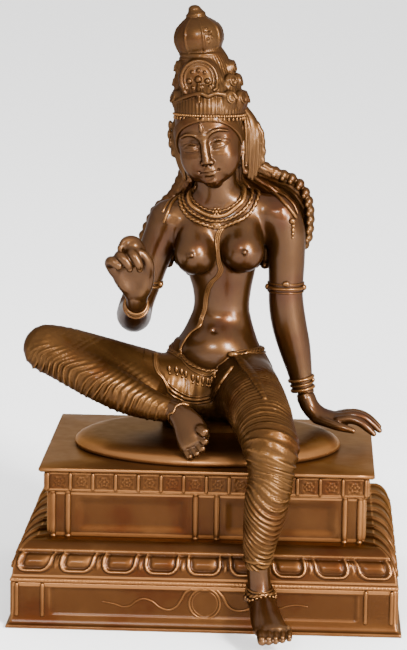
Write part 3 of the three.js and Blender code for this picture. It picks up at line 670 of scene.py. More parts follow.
hair = Clay((-28, -20, 164), (20, 32, 232), 0.42, band=3)
hair.add(
    limb(
        [
            [-3.6, 3.6, 173.4, 17.9, 18.4], [-3.7, 3.8, 176, 18.3, 18.8], [-4, 5, 181, 17.8, 17.6],
            [-4.8, 6.6, 187, 16.2, 15.6], [-6, 7.4, 193, 14.4, 13.6], [-7, 8, 199, 13.2, 12.6],
            [-8.6, 8, 205, 11, 11],
        ],
        sides=180, spacing=0.6, relief=fluted(56, 0.7),
    )
)


def curl(place, out, size, way):
    """A snail curl that faces outwards."""
    side = unit(np.cross([0, 0, 1], out))
    up = np.cross(out, side)
    line = []
    for i, t in enumerate(np.linspace(0, 2.6 * math.pi, 16)):
        r = size * (0.95 - 0.75 * i / 15)
        point = place + out * (0.9 + 0.05 * i) + side * r * math.cos(t) * way + up * 1.25 * r * math.sin(t)
        line.append([*point, 0.62 - 0.012 * i])
    return limb(line, across=out, spacing=0.6, sides=8)


MEDAL, MEDAL_HALF = np.array([-9.2, -7.2, 192.6]), 11.6
TIERS = [
    (-4.3, 6, 181.4, 17.4, 16.4, 14, 3.6), (-5.8, 7, 189.6, 15, 14.4, 13, 3.4),
    (-7, 7.6, 197, 13, 12.6, 11, 3.1),
]
for level, (x, y, z, a, b, count, size) in enumerate(TIERS):
    spots = []
    for i in range(count):
        t = 2 * math.pi * (i + 0.3 + level / 2) / count
        under_medal = math.cos(t) > 0.2 and abs(x + a * math.sin(t) + 8.8) < MEDAL_HALF
        if not under_medal:
            spots.append([x + a * math.sin(t), y - b * math.cos(t), z, t])
    places = hair.rest(np.array(spots)[:, :3], 0.3)
    for place, (_, _, _, t) in zip(places, spots):
        out = unit(np.array([math.sin(t) / a, -math.cos(t) / b, 0.018]))
        bed = ball(place - out * 0.5, (size * 1.2, 2.8, size * 1.4), (0, 0, math.degrees(t)), 12)
        hair.add(bed, blend=1.4)
        hair.add(curl(place + out * 0.9, out, size * 0.95, 1 if place[0] > x else -1), blend=0.35)
GLOBE = [
    [-8.6, 8, 204.5, 9.4], [-8.9, 8, 206, 10.6], [-9.5, 8, 209.5, 12.3], [-10.1, 8, 214, 12.8],
    [-10.8, 8, 218.6, 11.2], [-11.2, 8, 221.6, 7.8], [-11.4, 8, 223.6, 5],
]


def ribs(s, a):
    """Eight thin ribs along the globe."""
    return 0.85 * np.exp(-((np.sin(4 * a + 2.23) / 0.14) ** 2)) - 0.15


hair.add(limb(GLOBE, spacing=0.5, sides=140, relief=ribs, ends=(0, 0.3)), blend=0.5)
for z, radius, thick in ((202.6, 11.2, 0.8), (204.6, 10.9, 1.1)):
    loop = [
        [-8.2 + radius * math.cos(a), 8 + radius * math.sin(a), z + 0.05 * radius * math.cos(a), thick]
        for a in np.linspace(0, 2 * math.pi, 33)
    ]
    hair.add(limb(loop, across=(0, 0, 1), spacing=0.6, sides=12), blend=0.4)
hair.add(
    limb([[-11.6, 8, 223.2, 5], [-11.8, 8, 225, 5.2], [-12, 8, 226, 4.2]], spacing=0.4, ends=(0.4, 0.4)),
    ball((-12.3, 8, 227.2), (3.5, 3.5, 2.5)), blend=0.5,
)
FLOWER = [
    (-3.4, 216.4, 1.1), (-5.2, 219.4, 0.7), (-5.8, 216.2, 0.7), (-4.4, 213.2, 0.7), (-1.4, 214, 0.7),
    (-1.2, 217.4, 0.7), (-2.6, 219.8, 0.7), (-3.6, 210.8, 0.5),
]
for x, z, r in FLOWER:
    hair.add(ball(hair.rest([[x, -4.5, z]])[0], r, detail=10), blend=0.3)


def arch(radius, start, stop, thick):
    """A part of a ring laid on the front of the knot, in degrees from the right against the clock."""
    turns = np.radians(np.linspace(start, stop, 25))
    line = [MEDAL + [radius * math.cos(t), -1, 1.1 * radius * math.sin(t)] for t in turns]
    return strand(hair.rest(line, 0.35 * thick), thick, (0, 1, 0), 0.6)


hair.add(ball(MEDAL + [0.4, 3.2, 0], (11, 4.6, 10.4), detail=28), blend=2)
hair.add(arch(9.9, -40, 220, 0.9), arch(7.7, -25, 205, 0.5), blend=0.35)
BOSSES = [
    (0, 0, 1.9), (-4.6, -1, 1.5), (4.6, -0.8, 1.5), (0, 4.6, 1), (-3.2, 3.6, 0.9), (3.2, 3.6, 0.9),
    (-6.4, -4.8, 1), (6.4, -4.6, 1), (-2.6, -4.4, 0.9), (2.6, -4.4, 0.9),
]
for dx, dz, r in BOSSES:
    hair.add(ball(hair.rest([MEDAL + [dx, -1, dz]], 0.1)[0], (r, r * 0.8, r), detail=14), blend=0.3)
hair.add(
    limb([[-9, -8.6, 190, 0.9], [-8.8, -11.4, 186.4, 1], [-8.4, -14.2, 181.6, 0.9]], spacing=0.5, sides=14),
    blend=0.5,
)
roll = []
for a in np.linspace(-2.1, 2.1, 25):
    drop = (6.5 if a < 0 else 3.6) * math.sin(a) ** 2
    roll.append([-4 + 18.2 * math.sin(a), 4.6 - 18 * math.cos(a), 186.2 - drop - 1.6 * bell(a, 0.12), 1.2])
hair.add(limb(roll, across=(0, 0, 1), spacing=0.6, sides=14), blend=0.6)
turns = np.linspace(-1.4, 1.4, 39)
line = [(-3.6 + 18.7 * math.sin(a), 3.6 - 18.9 * math.cos(a), 174.6 - 0.6 * math.sin(a) ** 2) for a in turns]
diadem = [ball(p, 0.75, detail=8) for p in line]
diadem += [ball((x, y - 0.1, z - 1.7), (0.6, 0.5, 1), detail=8) for x, y, z in line[1::2]]

# ---------------------------------------------------------------- falling hair

tresses = Clay((-40, -4, 76), (56, 36, 180), 0.5, band=3)


def lock(points, sizes, flutes=7, depth=0.55, flat=0.62, sides=36):
    """A lock of hair with combed grooves and a curl at its end."""
    rows = [[*p, w, w * flat] for p, w in zip(points, sizes)]
    end = np.array(points[-1], float)
    out = unit(end - np.array(points[-2], float))
    return [
        limb(rows, spacing=0.7, sides=sides, relief=fluted(2 * flutes, depth, twist=1.2)),
        ball(end + out * sizes[-1] * 0.6, sizes[-1] * 0.95, detail=10),
    ]


RIGHT_OUTER = np.array([[11, 14, 150], [27, 17.5, 141.5], [40, 20, 134.5], [47.2, 21, 122], [46.6, 20, 106]])
RIGHT_INNER = np.array([[3, 17, 148], [6, 22, 132], [10, 24.5, 117], [12, 24.5, 102], [11, 22, 86]])
LEFT_OUTER = np.array(
    [[-9.4, 13, 150], [-15.4, 16, 136], [-24.4, 17.5, 122], [-31.4, 18, 110], [-35.4, 17.5, 99]]
)
LEFT_INNER = np.array([[-3, 17, 148], [-5, 22, 132], [-8, 24.5, 117], [-9, 24.5, 102], [-8, 22, 88]])
MIDDLE = [
    [-4, 9, 175, 15, 8], [-3, 12, 160, 15.5, 8.5], [1, 16, 144, 13, 6.5], [2, 18, 128, 12, 5.5],
    [4, 19, 108, 12, 4],
]
tresses.add(limb(MIDDLE, sides=60, relief=fluted(30, 0.7)), blend=1)
for outer, inner, count in ((RIGHT_OUTER, RIGHT_INNER, 8), (LEFT_OUTER, LEFT_INNER, 6)):
    for n, share in enumerate(np.linspace(0, 1, count)):
        path = outer + (inner - outer) * share
        path[:, 1] += 1.2 * (n % 2)
        path[-1, 2] += (n % 2) * 3
        tresses.add(*lock(path, [5.2, 5, 4.6, 4.2, 2.8]), blend=0.6)
RIGHT_CURLS = [
    (26.5, 145), (31.4, 142.8), (36, 141), (40.2, 139.4), (44.4, 136.4), (47.4, 132), (49.2, 127.4),
    (50, 122.6), (50.2, 117.8), (50, 113), (49.4, 108.4), (47.6, 104.4),
]
LEFT_CURLS = [
    (-18.6, 141), (-20.2, 137), (-22, 133), (-24, 129.4), (-27, 126.6), (-30.4, 123.6), (-33, 120.4),
    (-35, 116.4), (-37, 112), (-38.8, 107.4), (-39.6, 102.6),
]
for x, z in RIGHT_CURLS + LEFT_CURLS:
    tresses.add(ball((x - math.copysign(0.7, x), 18, z), (2.7, 3.4, 2.9), detail=12), blend=1)
    tresses.add(ball((x - math.copysign(1.6, x), 15.2, z - 1.6), (1.5, 1.6, 1.7), detail=8), blend=0.8)
BUNCHES = [([[13.4, 8.6, 176], [17.4, 8.4, 168], [18.4, 8.4, 158], [17.6, 8.8, 147]], [3, 4.4, 4.8, 3.6])]
for n, low in enumerate((145.4, 141.6, 140.6, 142.4, 146.6)):
    path = [[12 + 0.9 * n, 5.4 + 0.5 * n, 177.6 - 1.3 * n], [14.4 + 1.5 * n, 3.6 + 0.8 * n, 171.4 - 0.7 * n]]
    path += [[15.2 + 2.05 * n, 3 + 0.9 * n, 164], [15.4 + 2.05 * n, 3.4 + 0.8 * n, 155]]
    path += [[15.4 + 1.9 * n, 4.2 + 0.6 * n, low + 4], [15.4 + 1.75 * n, 5 + 0.4 * n, low]]
    BUNCHES.append((path, [1, 1.15, 1.2, 1.2, 1.15, 1]))
for n in range(3):
    path = [[-18.6 - 0.6 * n, 4.4 + n, 176], [-19.6 - 0.9 * n, 4.2 + n, 169], [-19.8 - n, 4.4 + n, 162]]
    path += [
        [-18.8 - n, 5 + n, 153], [-17 - 0.9 * n, 5.8 + n, 146], [-16.2 - 0.6 * n, 7 + n, 139.6 + 1.4 * n]
    ]
    BUNCHES.append((path, [1, 1.3, 1.4, 1.4, 1.3, 1]))
for path, sizes in BUNCHES:
    tresses.add(*lock(path, sizes, flutes=3, depth=0.16, flat=1.1, sides=24), blend=0.2)
WAVES = [
    (21.6, 167.4), (23.4, 163.4), (24.2, 159), (24.8, 154.4), (24.4, 149.6), (-24.2, 167.4), (-24.6, 162.4),
    (-24, 157.6), (-22.6, 153),
]
for x, z in WAVES:
    tresses.add(ball((x, 7.4, z), (1.3, 1.9, 2.5), detail=10), blend=1.2)

# ---------------------------------------------------------------- hands and feet


def digit(points, radii):
    """A finger through its joints."""
    return limb([[*p, r] for p, r in zip(points, radii)], (0, 1, 0.2), 0.5, 18)


raised = Clay((-58, -62, 74), (-22, -30, 122), 0.42, band=3)
raised.add(
    limb(
        [
            [-37.9, -34.5, 79.6, 5, 4.7], [-37.6, -38.2, 83.4, 5.4, 4.6], [-38, -41, 88.5, 7.8, 4.8],
            [-39, -42.8, 94.5, 9.8, 4.6], [-40.2, -44, 100.2, 11, 4],
        ],
        sides=48, ends=(1, 0.6),
    )
)
raised.add(
    ball((-33.8, -43, 91), (3.6, 3.6, 6.4), turn=(0, 18, 0)),
    ball((-45.2, -44, 94), (3, 3.2, 6.4), turn=(0, -26, 0)), blend=3,
)
raised.cut(ball((-39.6, -50.6, 93), (4.6, 4.4, 6)), blend=3.5)
CURLED = [
    [[-49, -44, 98], [-51, -46.4, 102.4], [-49.4, -50.4, 104], [-46.2, -51.6, 101.8]],
    [[-45, -44, 100], [-46.4, -47, 105.6], [-44.8, -51.8, 106.6], [-41.4, -53, 103], [-40.6, -51.8, 100.4]],
    [[-40.4, -44, 101], [-41, -47.6, 107.4], [-39, -52.6, 108], [-36, -53.6, 103.4], [-35.6, -51.8, 100.4]],
    [
        [-35, -43.4, 101], [-35.6, -45.4, 108.6], [-38.6, -46.8, 114], [-43, -48.4, 114.2],
        [-45.6, -49.6, 110.6],
    ],
]
for points in CURLED:
    raised.add(digit(points, [2.9, 2.8, 2.6, 2.2, 1.7]), blend=1)
THUMB = [
    [-34, -41.6, 90], [-32, -44.4, 96.6], [-31.6, -47.6, 102.6], [-34.4, -49.6, 107.6], [-39.4, -50.6, 109.8]
]
raised.add(digit(THUMB, [3.6, 3.2, 2.9, 2.5, 1.8]), blend=1.4)
raised.add(ball((-39.6, -46, 108), (5, 2.8, 5.4)), ball((-39.8, -48, 111.2), (4.8, 3.4, 4)), blend=1.2)
for points in CURLED:
    raised.add(ball(np.array(points[-1]) + [0.2, -1.4, 0.3], (1.2, 0.7, 1.5), detail=12), blend=0.25)

resting = Clay((44, -8, 2), (94, 28, 30), 0.4, band=3)
resting.add(
    limb(
        [
            [49.4, 13.8, 23, 5.5, 5], [51.6, 13.4, 18.4, 5.6, 4.9], [56, 13, 14, 7.4, 4.8],
            [63, 12.5, 12, 9, 4.2], [70, 12.2, 12.2, 9.2, 3.4],
        ],
        across=(0, 1, 0), sides=48,
    )
)
FINGERS = [
    [[67, 4.8, 12.6], [73, 3.6, 13.8], [78, 2.4, 12.6], [82, 1.4, 9.8], [85.4, 0.8, 6.9]],
    [[68, 9.6, 13.2], [75, 9, 14.8], [80.6, 8.5, 13.4], [85, 8.2, 10.2], [88.6, 8, 7.2]],
    [[68, 14.6, 13.2], [75, 14.8, 14.8], [80.6, 14.8, 13.6], [85, 14.8, 10.6], [88.4, 14.8, 7.8]],
    [[67, 19, 12.6], [72.6, 20, 13.6], [77.4, 20.8, 12.6], [81, 21.2, 10.2], [84, 21.6, 7.8]],
    [[55, 8, 12.8], [61, 3.4, 11.6], [66, 0.4, 10.6], [70.6, -1, 9.8], [74.4, -1.8, 8.8]],
]
for points in FINGERS:
    resting.add(digit(points, [2.8, 2.5, 2.3, 2.1, 1.5]), blend=1)

# ---------------------------------------------------------------- legs and garment


def along(points, path):
    """How far each point lies along a path, in millimetres, and the angle at which it lies round it."""
    q = curve(path, count=260)[:, :3].astype(np.float32)
    t = unit(np.gradient(q, axis=0))
    across = np.array((1, 0, 0))
    u = unit(across - (t @ across)[:, None] * t)
    v = np.cross(t, u)
    s = travelled(q)
    length, angle = [], []
    for p in np.array_split(points.astype(np.float32), max(1, len(points) // 40000)):
        i = np.argmin((q**2).sum(1)[None] - 2 * p @ q.T, axis=1)
        d = p - q[i]
        length.append(s[i] + np.einsum("ij,ij->i", d, t[i]))
        angle.append(np.arctan2(np.einsum("ij,ij->i", d, v[i]), np.einsum("ij,ij->i", d, u[i])))
    return np.concatenate(length), np.concatenate(angle)


def pleats(phase, a, b, height, seed, wander=1.0):
    """Thin raised pleats, one for each whole phase, which wander, swell and die out over a and b."""
    rng = np.random.default_rng(seed)
    swell = np.ones_like(phase)
    for _ in range(7):
        fa, fb, shift = rng.uniform(0.03, 0.22), rng.uniform(0.5, 2.4), rng.uniform(0, 6.28)
        size = wander * rng.uniform(0.06, 0.18)
        phase = phase + size * np.sin(fa * a + fb * b + shift)
        swell = swell + 1.8 * size * np.sin(2.1 * fa * a - 1.6 * fb * b + 2 * shift)
    swell = np.clip(swell, 0.3, 1.5)
    main = (0.5 + 0.5 * np.cos(2 * np.pi * phase)) ** 3
    side = (0.5 + 0.5 * np.cos(2 * np.pi * (phase - 0.38 - 0.1 * np.sin(0.7 * phase)))) ** 6
    return height * (main * swell + 0.45 * side * (2 - swell) - 0.32)


def hanging(x, out, level, *radii):
    """A station in front of the base block. A negative level is a share of the pedestal's height."""
    return [x, BLOCK_FACE - out, level * SLAB_TOP if level < 0 else level, *radii]


HIP = [14, 7, 31, 19, 19]
KNEE = hanging(32.6, 6.5, 18, 13.6, 13.6)
THIGH = [
    [h + (q - h) * i / 4 + (bulge if axis == 2 else 0) for axis, (h, q) in enumerate(zip(HIP, KNEE))]
    for i, bulge in enumerate([0, 3.8, 5.6, 4.4, 0])
]
SHIN = [
    hanging(33, 8, 16.7, 13), hanging(32.8, 12.5, 3, 11.2), hanging(31.3, 14.2, -0.09, 10.9),
    hanging(29.8, 14.2, -0.22, 9.8), hanging(27.8, 13.2, -0.38, 7.9), hanging(27.4, 12.2, -0.49, 6.6),
]
FOLDED_THIGH = [
    [-6, 7, 28.6, 19], [-27.5, 0, 29.8, 18], [-43, -6, 36.2, 16.6], [-58.4, -11, 43.2, 14.8],
    [-72.7, -16, 49.7, 12.9], [-84.4, -20.5, 53.6, 11.4],
]
FOLDED_SHIN = [
    [-85.6, -22, 53, 11.4], [-72.7, -27, 46.6, 11], [-56.7, -32, 38.8, 10.6], [-40.9, -36, 31.8, 9.6],
    [-29.4, -39, 28.1, 7.8], [-20.5, -41, 26.2, 6.1],
]
FILL = [
    [(a + x) / 2, (b + y) / 2, (c + z) / 2 + 0.6, width]
    for (a, b, c, _), (x, y, z, _), width in zip(FOLDED_THIGH[1:], FOLDED_SHIN[3::-1], (10, 11.4, 11.6, 10.8))
]
KNEE_TIP = np.array([-97, -22, 55])
LEG_AXIS, LEG_UP = np.array([0.939, 0.052, -0.339]), np.array([0.339, 0, 0.941])


def folded_pleats(p):
    """Pleats that curl round the knee, cross the shin and run back over the thigh to the hip."""
    x, up = (p - KNEE_TIP) @ LEG_AXIS, (p - KNEE_TIP) @ LEG_UP
    over = np.sqrt(np.maximum(up + 1, 0) ** 2 + 25) - 5
    bent = x - 0.004 * np.minimum(up, 0) ** 2 - 1.6 * over
    bent = bent + 0.8 * np.sin(0.11 * x + 0.2 * up) + 0.5 * np.sin(0.27 * x - 0.16 * up + 1)
    behind = ease(p[:, 1] + 0.32 * (p[:, 0] + 60), -22, -10)
    fade = ease(x, 1, 8) * (1 - 0.75 * ease(x, 58, 78) * ease(up, -8, 2))
    fade = fade * (1 - 0.8 * ease(up, 0, 9)) * (1 - 0.5 * ease(-up, 6, 12))
    return fade * (1 - 0.4 * behind) * pleats(bent / 3.6, bent, 0.14 * up, 0.9, seed=3)


OVER_KNEE = [[29, -58, 27], [31.6, -72, 21.5], [32.6, -82, 12], [32.4, -87.5, 0]]
HANGING_AXIS = [q[:3] for q in THIGH[:3] + OVER_KNEE + SHIN[2:]]


def hanging_pleats(p):
    """Pleats that ring the thigh and the knee and hang in slanting loops down the shin."""
    s, a = along(p, HANGING_AXIS)
    knee, hem = 88, 170
    low = ease(s, knee - 6, knee + 26)
    lean = 0.9 * (1 - low) * np.cos(a - 2.4) - 2.3 * low * np.cos(a - 0.9)
    fade = ease(s, 26, 58) * (1 - ease(s, hem - 4, hem))
    return fade * pleats(s / 2.8 + lean, s, a, 0.85 - 0.15 * (1 - low), seed=21, wander=0.5)


def seat_pleats(p):
    """Quiet cloth over the hips and the lap, with a few soft pleats behind."""
    behind = ease(p[:, 1], 6, 18)
    lap = ease(-p[:, 1], 6, 10) * ease(40 - p[:, 2], 0, 4)
    spread = (p[:, 0] + 7) / (1 + 0.02 * (60 - p[:, 2]))
    soft = np.cos(2 * np.pi * (p[:, 2] / 4.6 + 0.0011 * p[:, 0] ** 2))
    soft = soft + 0.4 * np.cos(p[:, 2] * 0.9 + 0.1 * p[:, 0])
    return behind * 0.22 * soft + 0.16 * lap * np.cos(1.9 * spread + 0.8 * np.sin(0.5 * spread))


seat = Clay((-34, -34, -2), (38, 40, 56), 0.62, band=4)
HIPS = [
    [1, 13, 5, 27.4, 21.4], [1.5, 13, 17, 30, 22.4], [2, 12.5, 32, 29.2, 21], [2.4, 12, 45, 26.4, 18.6],
    [3, 12.4, 52, 23, 16.6],
]
seat.add(limb(HIPS, sides=64, ends=(0.4, 0.05)))
seat.add(ball((-2, -0.5, 34), (17.4, 13, 13), detail=30), ball((2, -5, 25), (20, 15, 11), detail=30), blend=4)
seat.add(limb(FOLDED_THIGH[:3], across=(0, 1, 0), sides=60), limb(THIGH[:3], sides=60), blend=5)
seat.cut(ball((1.5, -11, 56.5), (19.5, 16, 15), detail=40), blend=1.2)
seat.emboss(seat_pleats)
folded = Clay((-100, -60, 12), (-4, 26, 70), 0.55, band=4)
folded.add(
    limb(FOLDED_THIGH, across=(0, 1, 0), sides=80), limb(FOLDED_SHIN, across=(0, 1, 0), sides=80), blend=4
)
folded.add(limb(FILL, across=(0, 1, 0), sides=60), blend=4)
folded.emboss(folded_pleats)
hanging_leg = Clay((-4, -112, -46), (52, 24, 52), 0.55, band=4)
hanging_leg.add(limb(THIGH, sides=80), limb(SHIN, sides=80), blend=3)
hanging_leg.emboss(hanging_pleats)
hem = ring_points(hanging(27.4, 12.2, -0.485), (0.1, 0.05, 1), 7.2)
hanging_leg.add(strand(hem, 0.9, (1, 0, 0), 0.5, 12), blend=0.8)

foot = Clay((12, -130, -78), (54, -82, -30), 0.42, band=3)
ANKLE = [
    hanging(27.4, 12, -0.46, 5.9), hanging(27.8, 11.6, -0.6, 5.7, 5.9), hanging(28.4, 11.8, -0.68, 6, 6.5),
    hanging(29.4, 13, -0.76, 6.2, 6),
]
INSTEP = [
    hanging(28.6, 7.6, -0.775, 5.2, 5), hanging(30, 14, -0.76, 6.4, 6.2), hanging(32, 26, -0.805, 7.8, 4.8),
    hanging(34.6, 36, -0.85, 8.6, 3.4),
]
foot.add(limb(ANKLE), limb(INSTEP, sides=48), blend=3)
foot.add(*[ball(hanging(x, 12, -0.73), (1.6, 2, 2)) for x in (21.6, 35)], blend=2)
for i in range(5):
    x, back, r = 30.2 + 3.3 * i, 0.33 * i * i, 2.5 - 0.22 * i
    toe = [hanging(x - 0.6, 33, -0.84, r), hanging(x - 0.1, 38.5 - back, -0.855, r)]
    toe += [hanging(x + 0.2, 42.5 - back, -0.872, r * 1.02), hanging(x + 0.3, 45 - back, -0.884, r * 0.9)]
    foot.add(limb(toe, spacing=0.5, sides=18), blend=0.8)
    foot.add(ball(hanging(x + 0.3, 46 - back, -0.862), (r * 0.62, 1.1, 0.7), (28, 0, 0), 10), blend=0.2)

sole = Clay((-32, -72, -2), (8, -32, 38), 0.42, band=3)
PAD = [
    [-23, -40.6, 26.6, 5.4, 5.2], [-17, -43.4, 26, 5.8, 5.4], [-13, -47.6, 23.6, 6.8, 5.2],
    [-9.2, -51.8, 19, 8.4, 5], [-7.2, -55.2, 14.6, 8.8, 4.4], [-6.2, -57, 12.6, 8.6, 3.4],
]
sole.add(limb(PAD, across=(0.8, 0, 0.6), sides=48, ends=(1, 0.6)))
TOES = [
    (-5, 19.6, -1.8, 19, 2.9), (-4.6, 15.4, -1.4, 14.2, 2.35), (-6, 12.2, -2.8, 10.4, 2.2),
    (-8.6, 10, -5.6, 7.8, 2.05), (-11.4, 8.6, -9, 6.2, 1.95),
]
for x0, z0, x1, z1, r in TOES:
    toe = [[x0, -54.6, z0, r], [(x0 + x1) / 2, -57.6, (z0 + z1) / 2 + 0.4, r], [x1, -59.6, z1, r * 0.95]]
    sole.add(limb(toe, across=(0.8, 0, 0.6), spacing=0.5, sides=20), blend=0.7)
    sole.add(ball((x1 + 0.7, -61.2, z1 + 0.5), (r * 0.6, 0.9, r * 0.6), detail=12), blend=0.3)

# ---------------------------------------------------------------- jewellery

NAPE = [[13.4, 10, 135], [9, 15.6, 136.6], [0.8, 18.4, 137], [-8, 15.6, 136.6], [-12.6, 10, 134.4]]
TWIST_PITCH = 2.6
jewels = []


def twisted(line, radius):
    """A cord twisted of two strands."""
    turns = 2 * math.pi * travelled(line[:, :3])[-1] / TWIST_PITCH
    return strand(line, radius, spacing=0.7, sides=12, relief=lambda s, a: 0.28 * np.cos(2 * a + turns * s))


def cord(clays, points, radius, lift=0.35, twist=True):
    """A cord laid on the skin."""
    line = laid(clays, points, lift * radius)
    jewels.append(twisted(line, radius) if twist else strand(line, radius))


def tag(clays, point, radii, lift, detail=12):
    """A boss or drop on the skin."""
    place = laid(clays, [point, np.array(point) + [0.02, 0, 0]], lift)[0]
    jewels.append(ball(place[:3], radii, detail=detail))


def shifted(points, dy, dz):
    """Points moved back and up."""
    return [[x, y + dy, z + dz] for x, y, z in points]


CHOKER = [
    [-12.8, 6, 131], [-10.5, 1.6, 127.7], [-6.2, -0.1, 125.1], [-1.5, -1.1, 123.7], [0.9, -1.4, 123.9],
    [5.3, -1.4, 124.5], [9.9, -0.6, 127.1], [13.4, 2, 131],
]
BAND = [
    [-13.1, 2.1, 127.3], [-8.8, 0.1, 124], [-3.5, -1.2, 121.7], [1.2, -2, 121.1], [6.4, -1.8, 122.5],
    [10.4, -0.9, 125.6], [14.5, 1.1, 129.6],
]
THIRD = [
    [-15.7, 1.9, 126.2], [-11.9, -0.4, 122.4], [-6.1, -1.9, 119.6], [0.2, -2.8, 118.6], [5.9, -2.6, 119.4],
    [11.6, -2, 122.1], [16.1, -0.2, 126.1], [19, 4.3, 131.8],
]
LONGEST = [
    [-17.5, 1.3, 125.2], [-13.9, -1.2, 120.9], [-9.1, -3.5, 118.2], [-3.3, -3.8, 116.3], [2.4, -4, 115.4],
    [7.6, -4, 117], [13.7, -3.9, 119.8], [18.8, -0.4, 124.1], [21.2, 2, 128.5], [22.1, 7.4, 132.6],
]
skin = [torso]
LOW_NAPE = [[15.6, 14, 132.6], [9, 19, 133], [0.8, 21, 132.6], [-9, 19, 132.6], [-15.6, 13, 131]]
LOWEST_NAPE = [[18, 14, 131.6], [9, 20, 130.6], [0.8, 22, 130], [-9, 20, 130.4], [-17, 13, 129.6]]
cord(skin, around(CHOKER, shifted(NAPE, 0, 2.5)), 0.75)
cord(skin, around(BAND, NAPE), 1.35, twist=False)
cord(skin, around(THIRD, LOW_NAPE), 0.9)
cord(skin, around(LONGEST, LOWEST_NAPE), 1.0)
for k in range(6):
    t = math.pi * k / 3
    tag(skin, (0.9 + 1.7 * math.cos(t), -2, 123.6 + 1.7 * math.sin(t)), 0.8, 0.9, detail=8)
tag(skin, (0.9, -2, 123.6), 1.1, 1.2)
tag(skin, (0.7, -4.4, 116.6), (3.1, 1, 2), 0.5)
tag(skin, (0.7, -5, 116.6), (1.3, 0.9, 0.9), 1.1)
SHOULDER_CORDS = (
    ([[28.7, 12, 132.5], [32.6, 5.5, 130.9], [36.3, 2.1, 127.8], [39.5, 1.6, 124.2], [41.7, 2.3, 121]], 0.95),
    ([[31, 12, 133], [37.3, 6.4, 130.4], [41, 4.6, 126.5], [42.6, 4.1, 122.9]], 0.6),
    ([[-18, 10, 131], [-22.1, 3.7, 127.4], [-24.4, -0.7, 122.7], [-26.3, -1.7, 117.6]], 0.8),
    ([[-21, 10, 131], [-24.6, 3.3, 126.9], [-27, -0.1, 122.6]], 0.6),
)
for path, radius in SHOULDER_CORDS:
    cord(skin, path, radius, twist=False)
tag(skin, (39.9, 0.6, 119.1), (1.6, 1.2, 1.6), 0.6)
for z, r in ((116.5, 0.9), (114.4, 1.1), (112.4, 0.8), (110.4, 0.6)):
    tag(skin, (40.6, 1, z), (r, r, r * 1.3), 0.3)
THREAD = [
    [3.4, -4.2, 114.9], [2, -4.7, 111.8], [1.5, -4.9, 106.6], [2.1, -4.5, 101.3], [2.9, -3.6, 96.9],
    [3.7, -2.9, 93.7], [2.2, -2, 89.8], [-0.9, -0.8, 86.4], [-3, 1, 81.8], [-4.1, 2.4, 76.7],
    [-4.5, 2.9, 71.9], [-6, 2.6, 66.5], [-6.9, 0.8, 60.5], [-10, 1.1, 57.1], [-13.1, 0.4, 52.9],
    [-15.6, 0, 49.7], [-17.1, -1.8, 46.8],
]
body = [torso, seat]
for side in (-1.05, 0, 1.05):
    path = [
        [x + side * (0.9 if z > 60 else 0.75), y, z + side * (0 if z > 66 else 0.6)] for x, y, z in THREAD
    ]
    jewels.append(strand(laid(body, path, 0.2), 0.6, spacing=0.9, sides=8))


def armlet(centre, axis, radius, thick):
    """A ring laid round a limb."""
    line = laid([torso, raised, resting], ring_points(centre, axis, radius), 0.3 * thick, 0.9)
    jewels.append(strand(line, thick, unit(np.array(axis, float)), 0.9))


LEFT_UPPER, LEFT_WRIST = ((0, 0, 1), 9.6), ((-0.25, 0, 1), 6)
RIGHT_UPPER, RIGHT_WRIST = ((0.12, 0, 1), 9), ((0.08, -0.88, 0.46), 5.8)
ARMLETS = [
    (LEFT_UPPER, (((37.6, 12, 82.6), 0.95), ((37.6, 12, 84.9), 0.55), ((37.6, 12, 80.4), 0.5))),
    (RIGHT_UPPER, (((-37, 9, 83), 0.9), ((-36.6, 9, 85.4), 0.55))),
    (LEFT_WRIST, (((46.5, 14, 33.2), 0.9), ((47.1, 14, 30.4), 0.65), ((47.7, 14, 27.8), 0.95))),
    (RIGHT_WRIST, (((-38.7, -29.4, 77.6), 0.8), ((-38.5, -32, 78.8), 0.55), ((-38.3, -34.6, 80), 0.8))),
]
for (axis, radius), rings in ARMLETS:
    for centre, thick in rings:
        armlet(centre, axis, radius, thick)
for point, radii, lift in (
    ((28.4, 10, 82.8), (1.7, 1.7, 1.8), 0.4), ((46.8, 10, 82.8), (1.7, 1.7, 1.8), 0.4),
    ((37.6, 1.6, 85.4), (2, 1.1, 1.6), 0.3), ((-27.4, 4.4, 83.4), (1.7, 1.7, 1.8), 0.5),
    ((-33.4, 0.6, 93), (1.3, 1, 1.3), 0.3), ((52, 12, 33), (1.2, 1.2, 1.2), 0.5),
):
    tag(skin, point, radii, lift)

GIRDLE = [
    [-24, 8, 50], [-20.5, 0, 48.6], [-16, -3.4, 46.1], [-12.6, -7.2, 43.7], [-7.2, -10.2, 41.8],
    [-1.4, -11.5, 40.8], [4.5, -11.8, 42.4], [12.5, -9.3, 48.9], [21, 0, 49.4], [25.6, 10, 49],
]
HIPS_BACK = [[23, 21, 48.6], [12, 28, 48.4], [1, 29.5, 48.4], [-12, 28, 48.4], [-21, 20, 48.8]]
cord(body, around(GIRDLE, HIPS_BACK), 0.8, lift=0.1)
cord(body, around(shifted(GIRDLE, 0, 1.8), shifted(HIPS_BACK, 0, 1.8)), 0.5, lift=0.1, twist=False)
cord(body, around(shifted(GIRDLE, -0.6, -2.5), shifted(HIPS_BACK, 0, -2.6)), 0.55, lift=0.1, twist=False)
legs = [torso, seat, folded, hanging_leg]
DROPS = [
    (-22.2, -13.1, 41.5), (-18.6, -11.7, 40.7), (-15.8, -11.8, 39.8), (-13.4, -11.8, 38.8),
    (-9.9, -12.3, 37.3), (-7, -12.8, 36.7), (-4.1, -13.4, 36.1), (-1.6, -14.4, 35.8), (0.9, -15.3, 35.5),
    (3.6, -16, 36.2), (6.2, -16, 37.6),
]
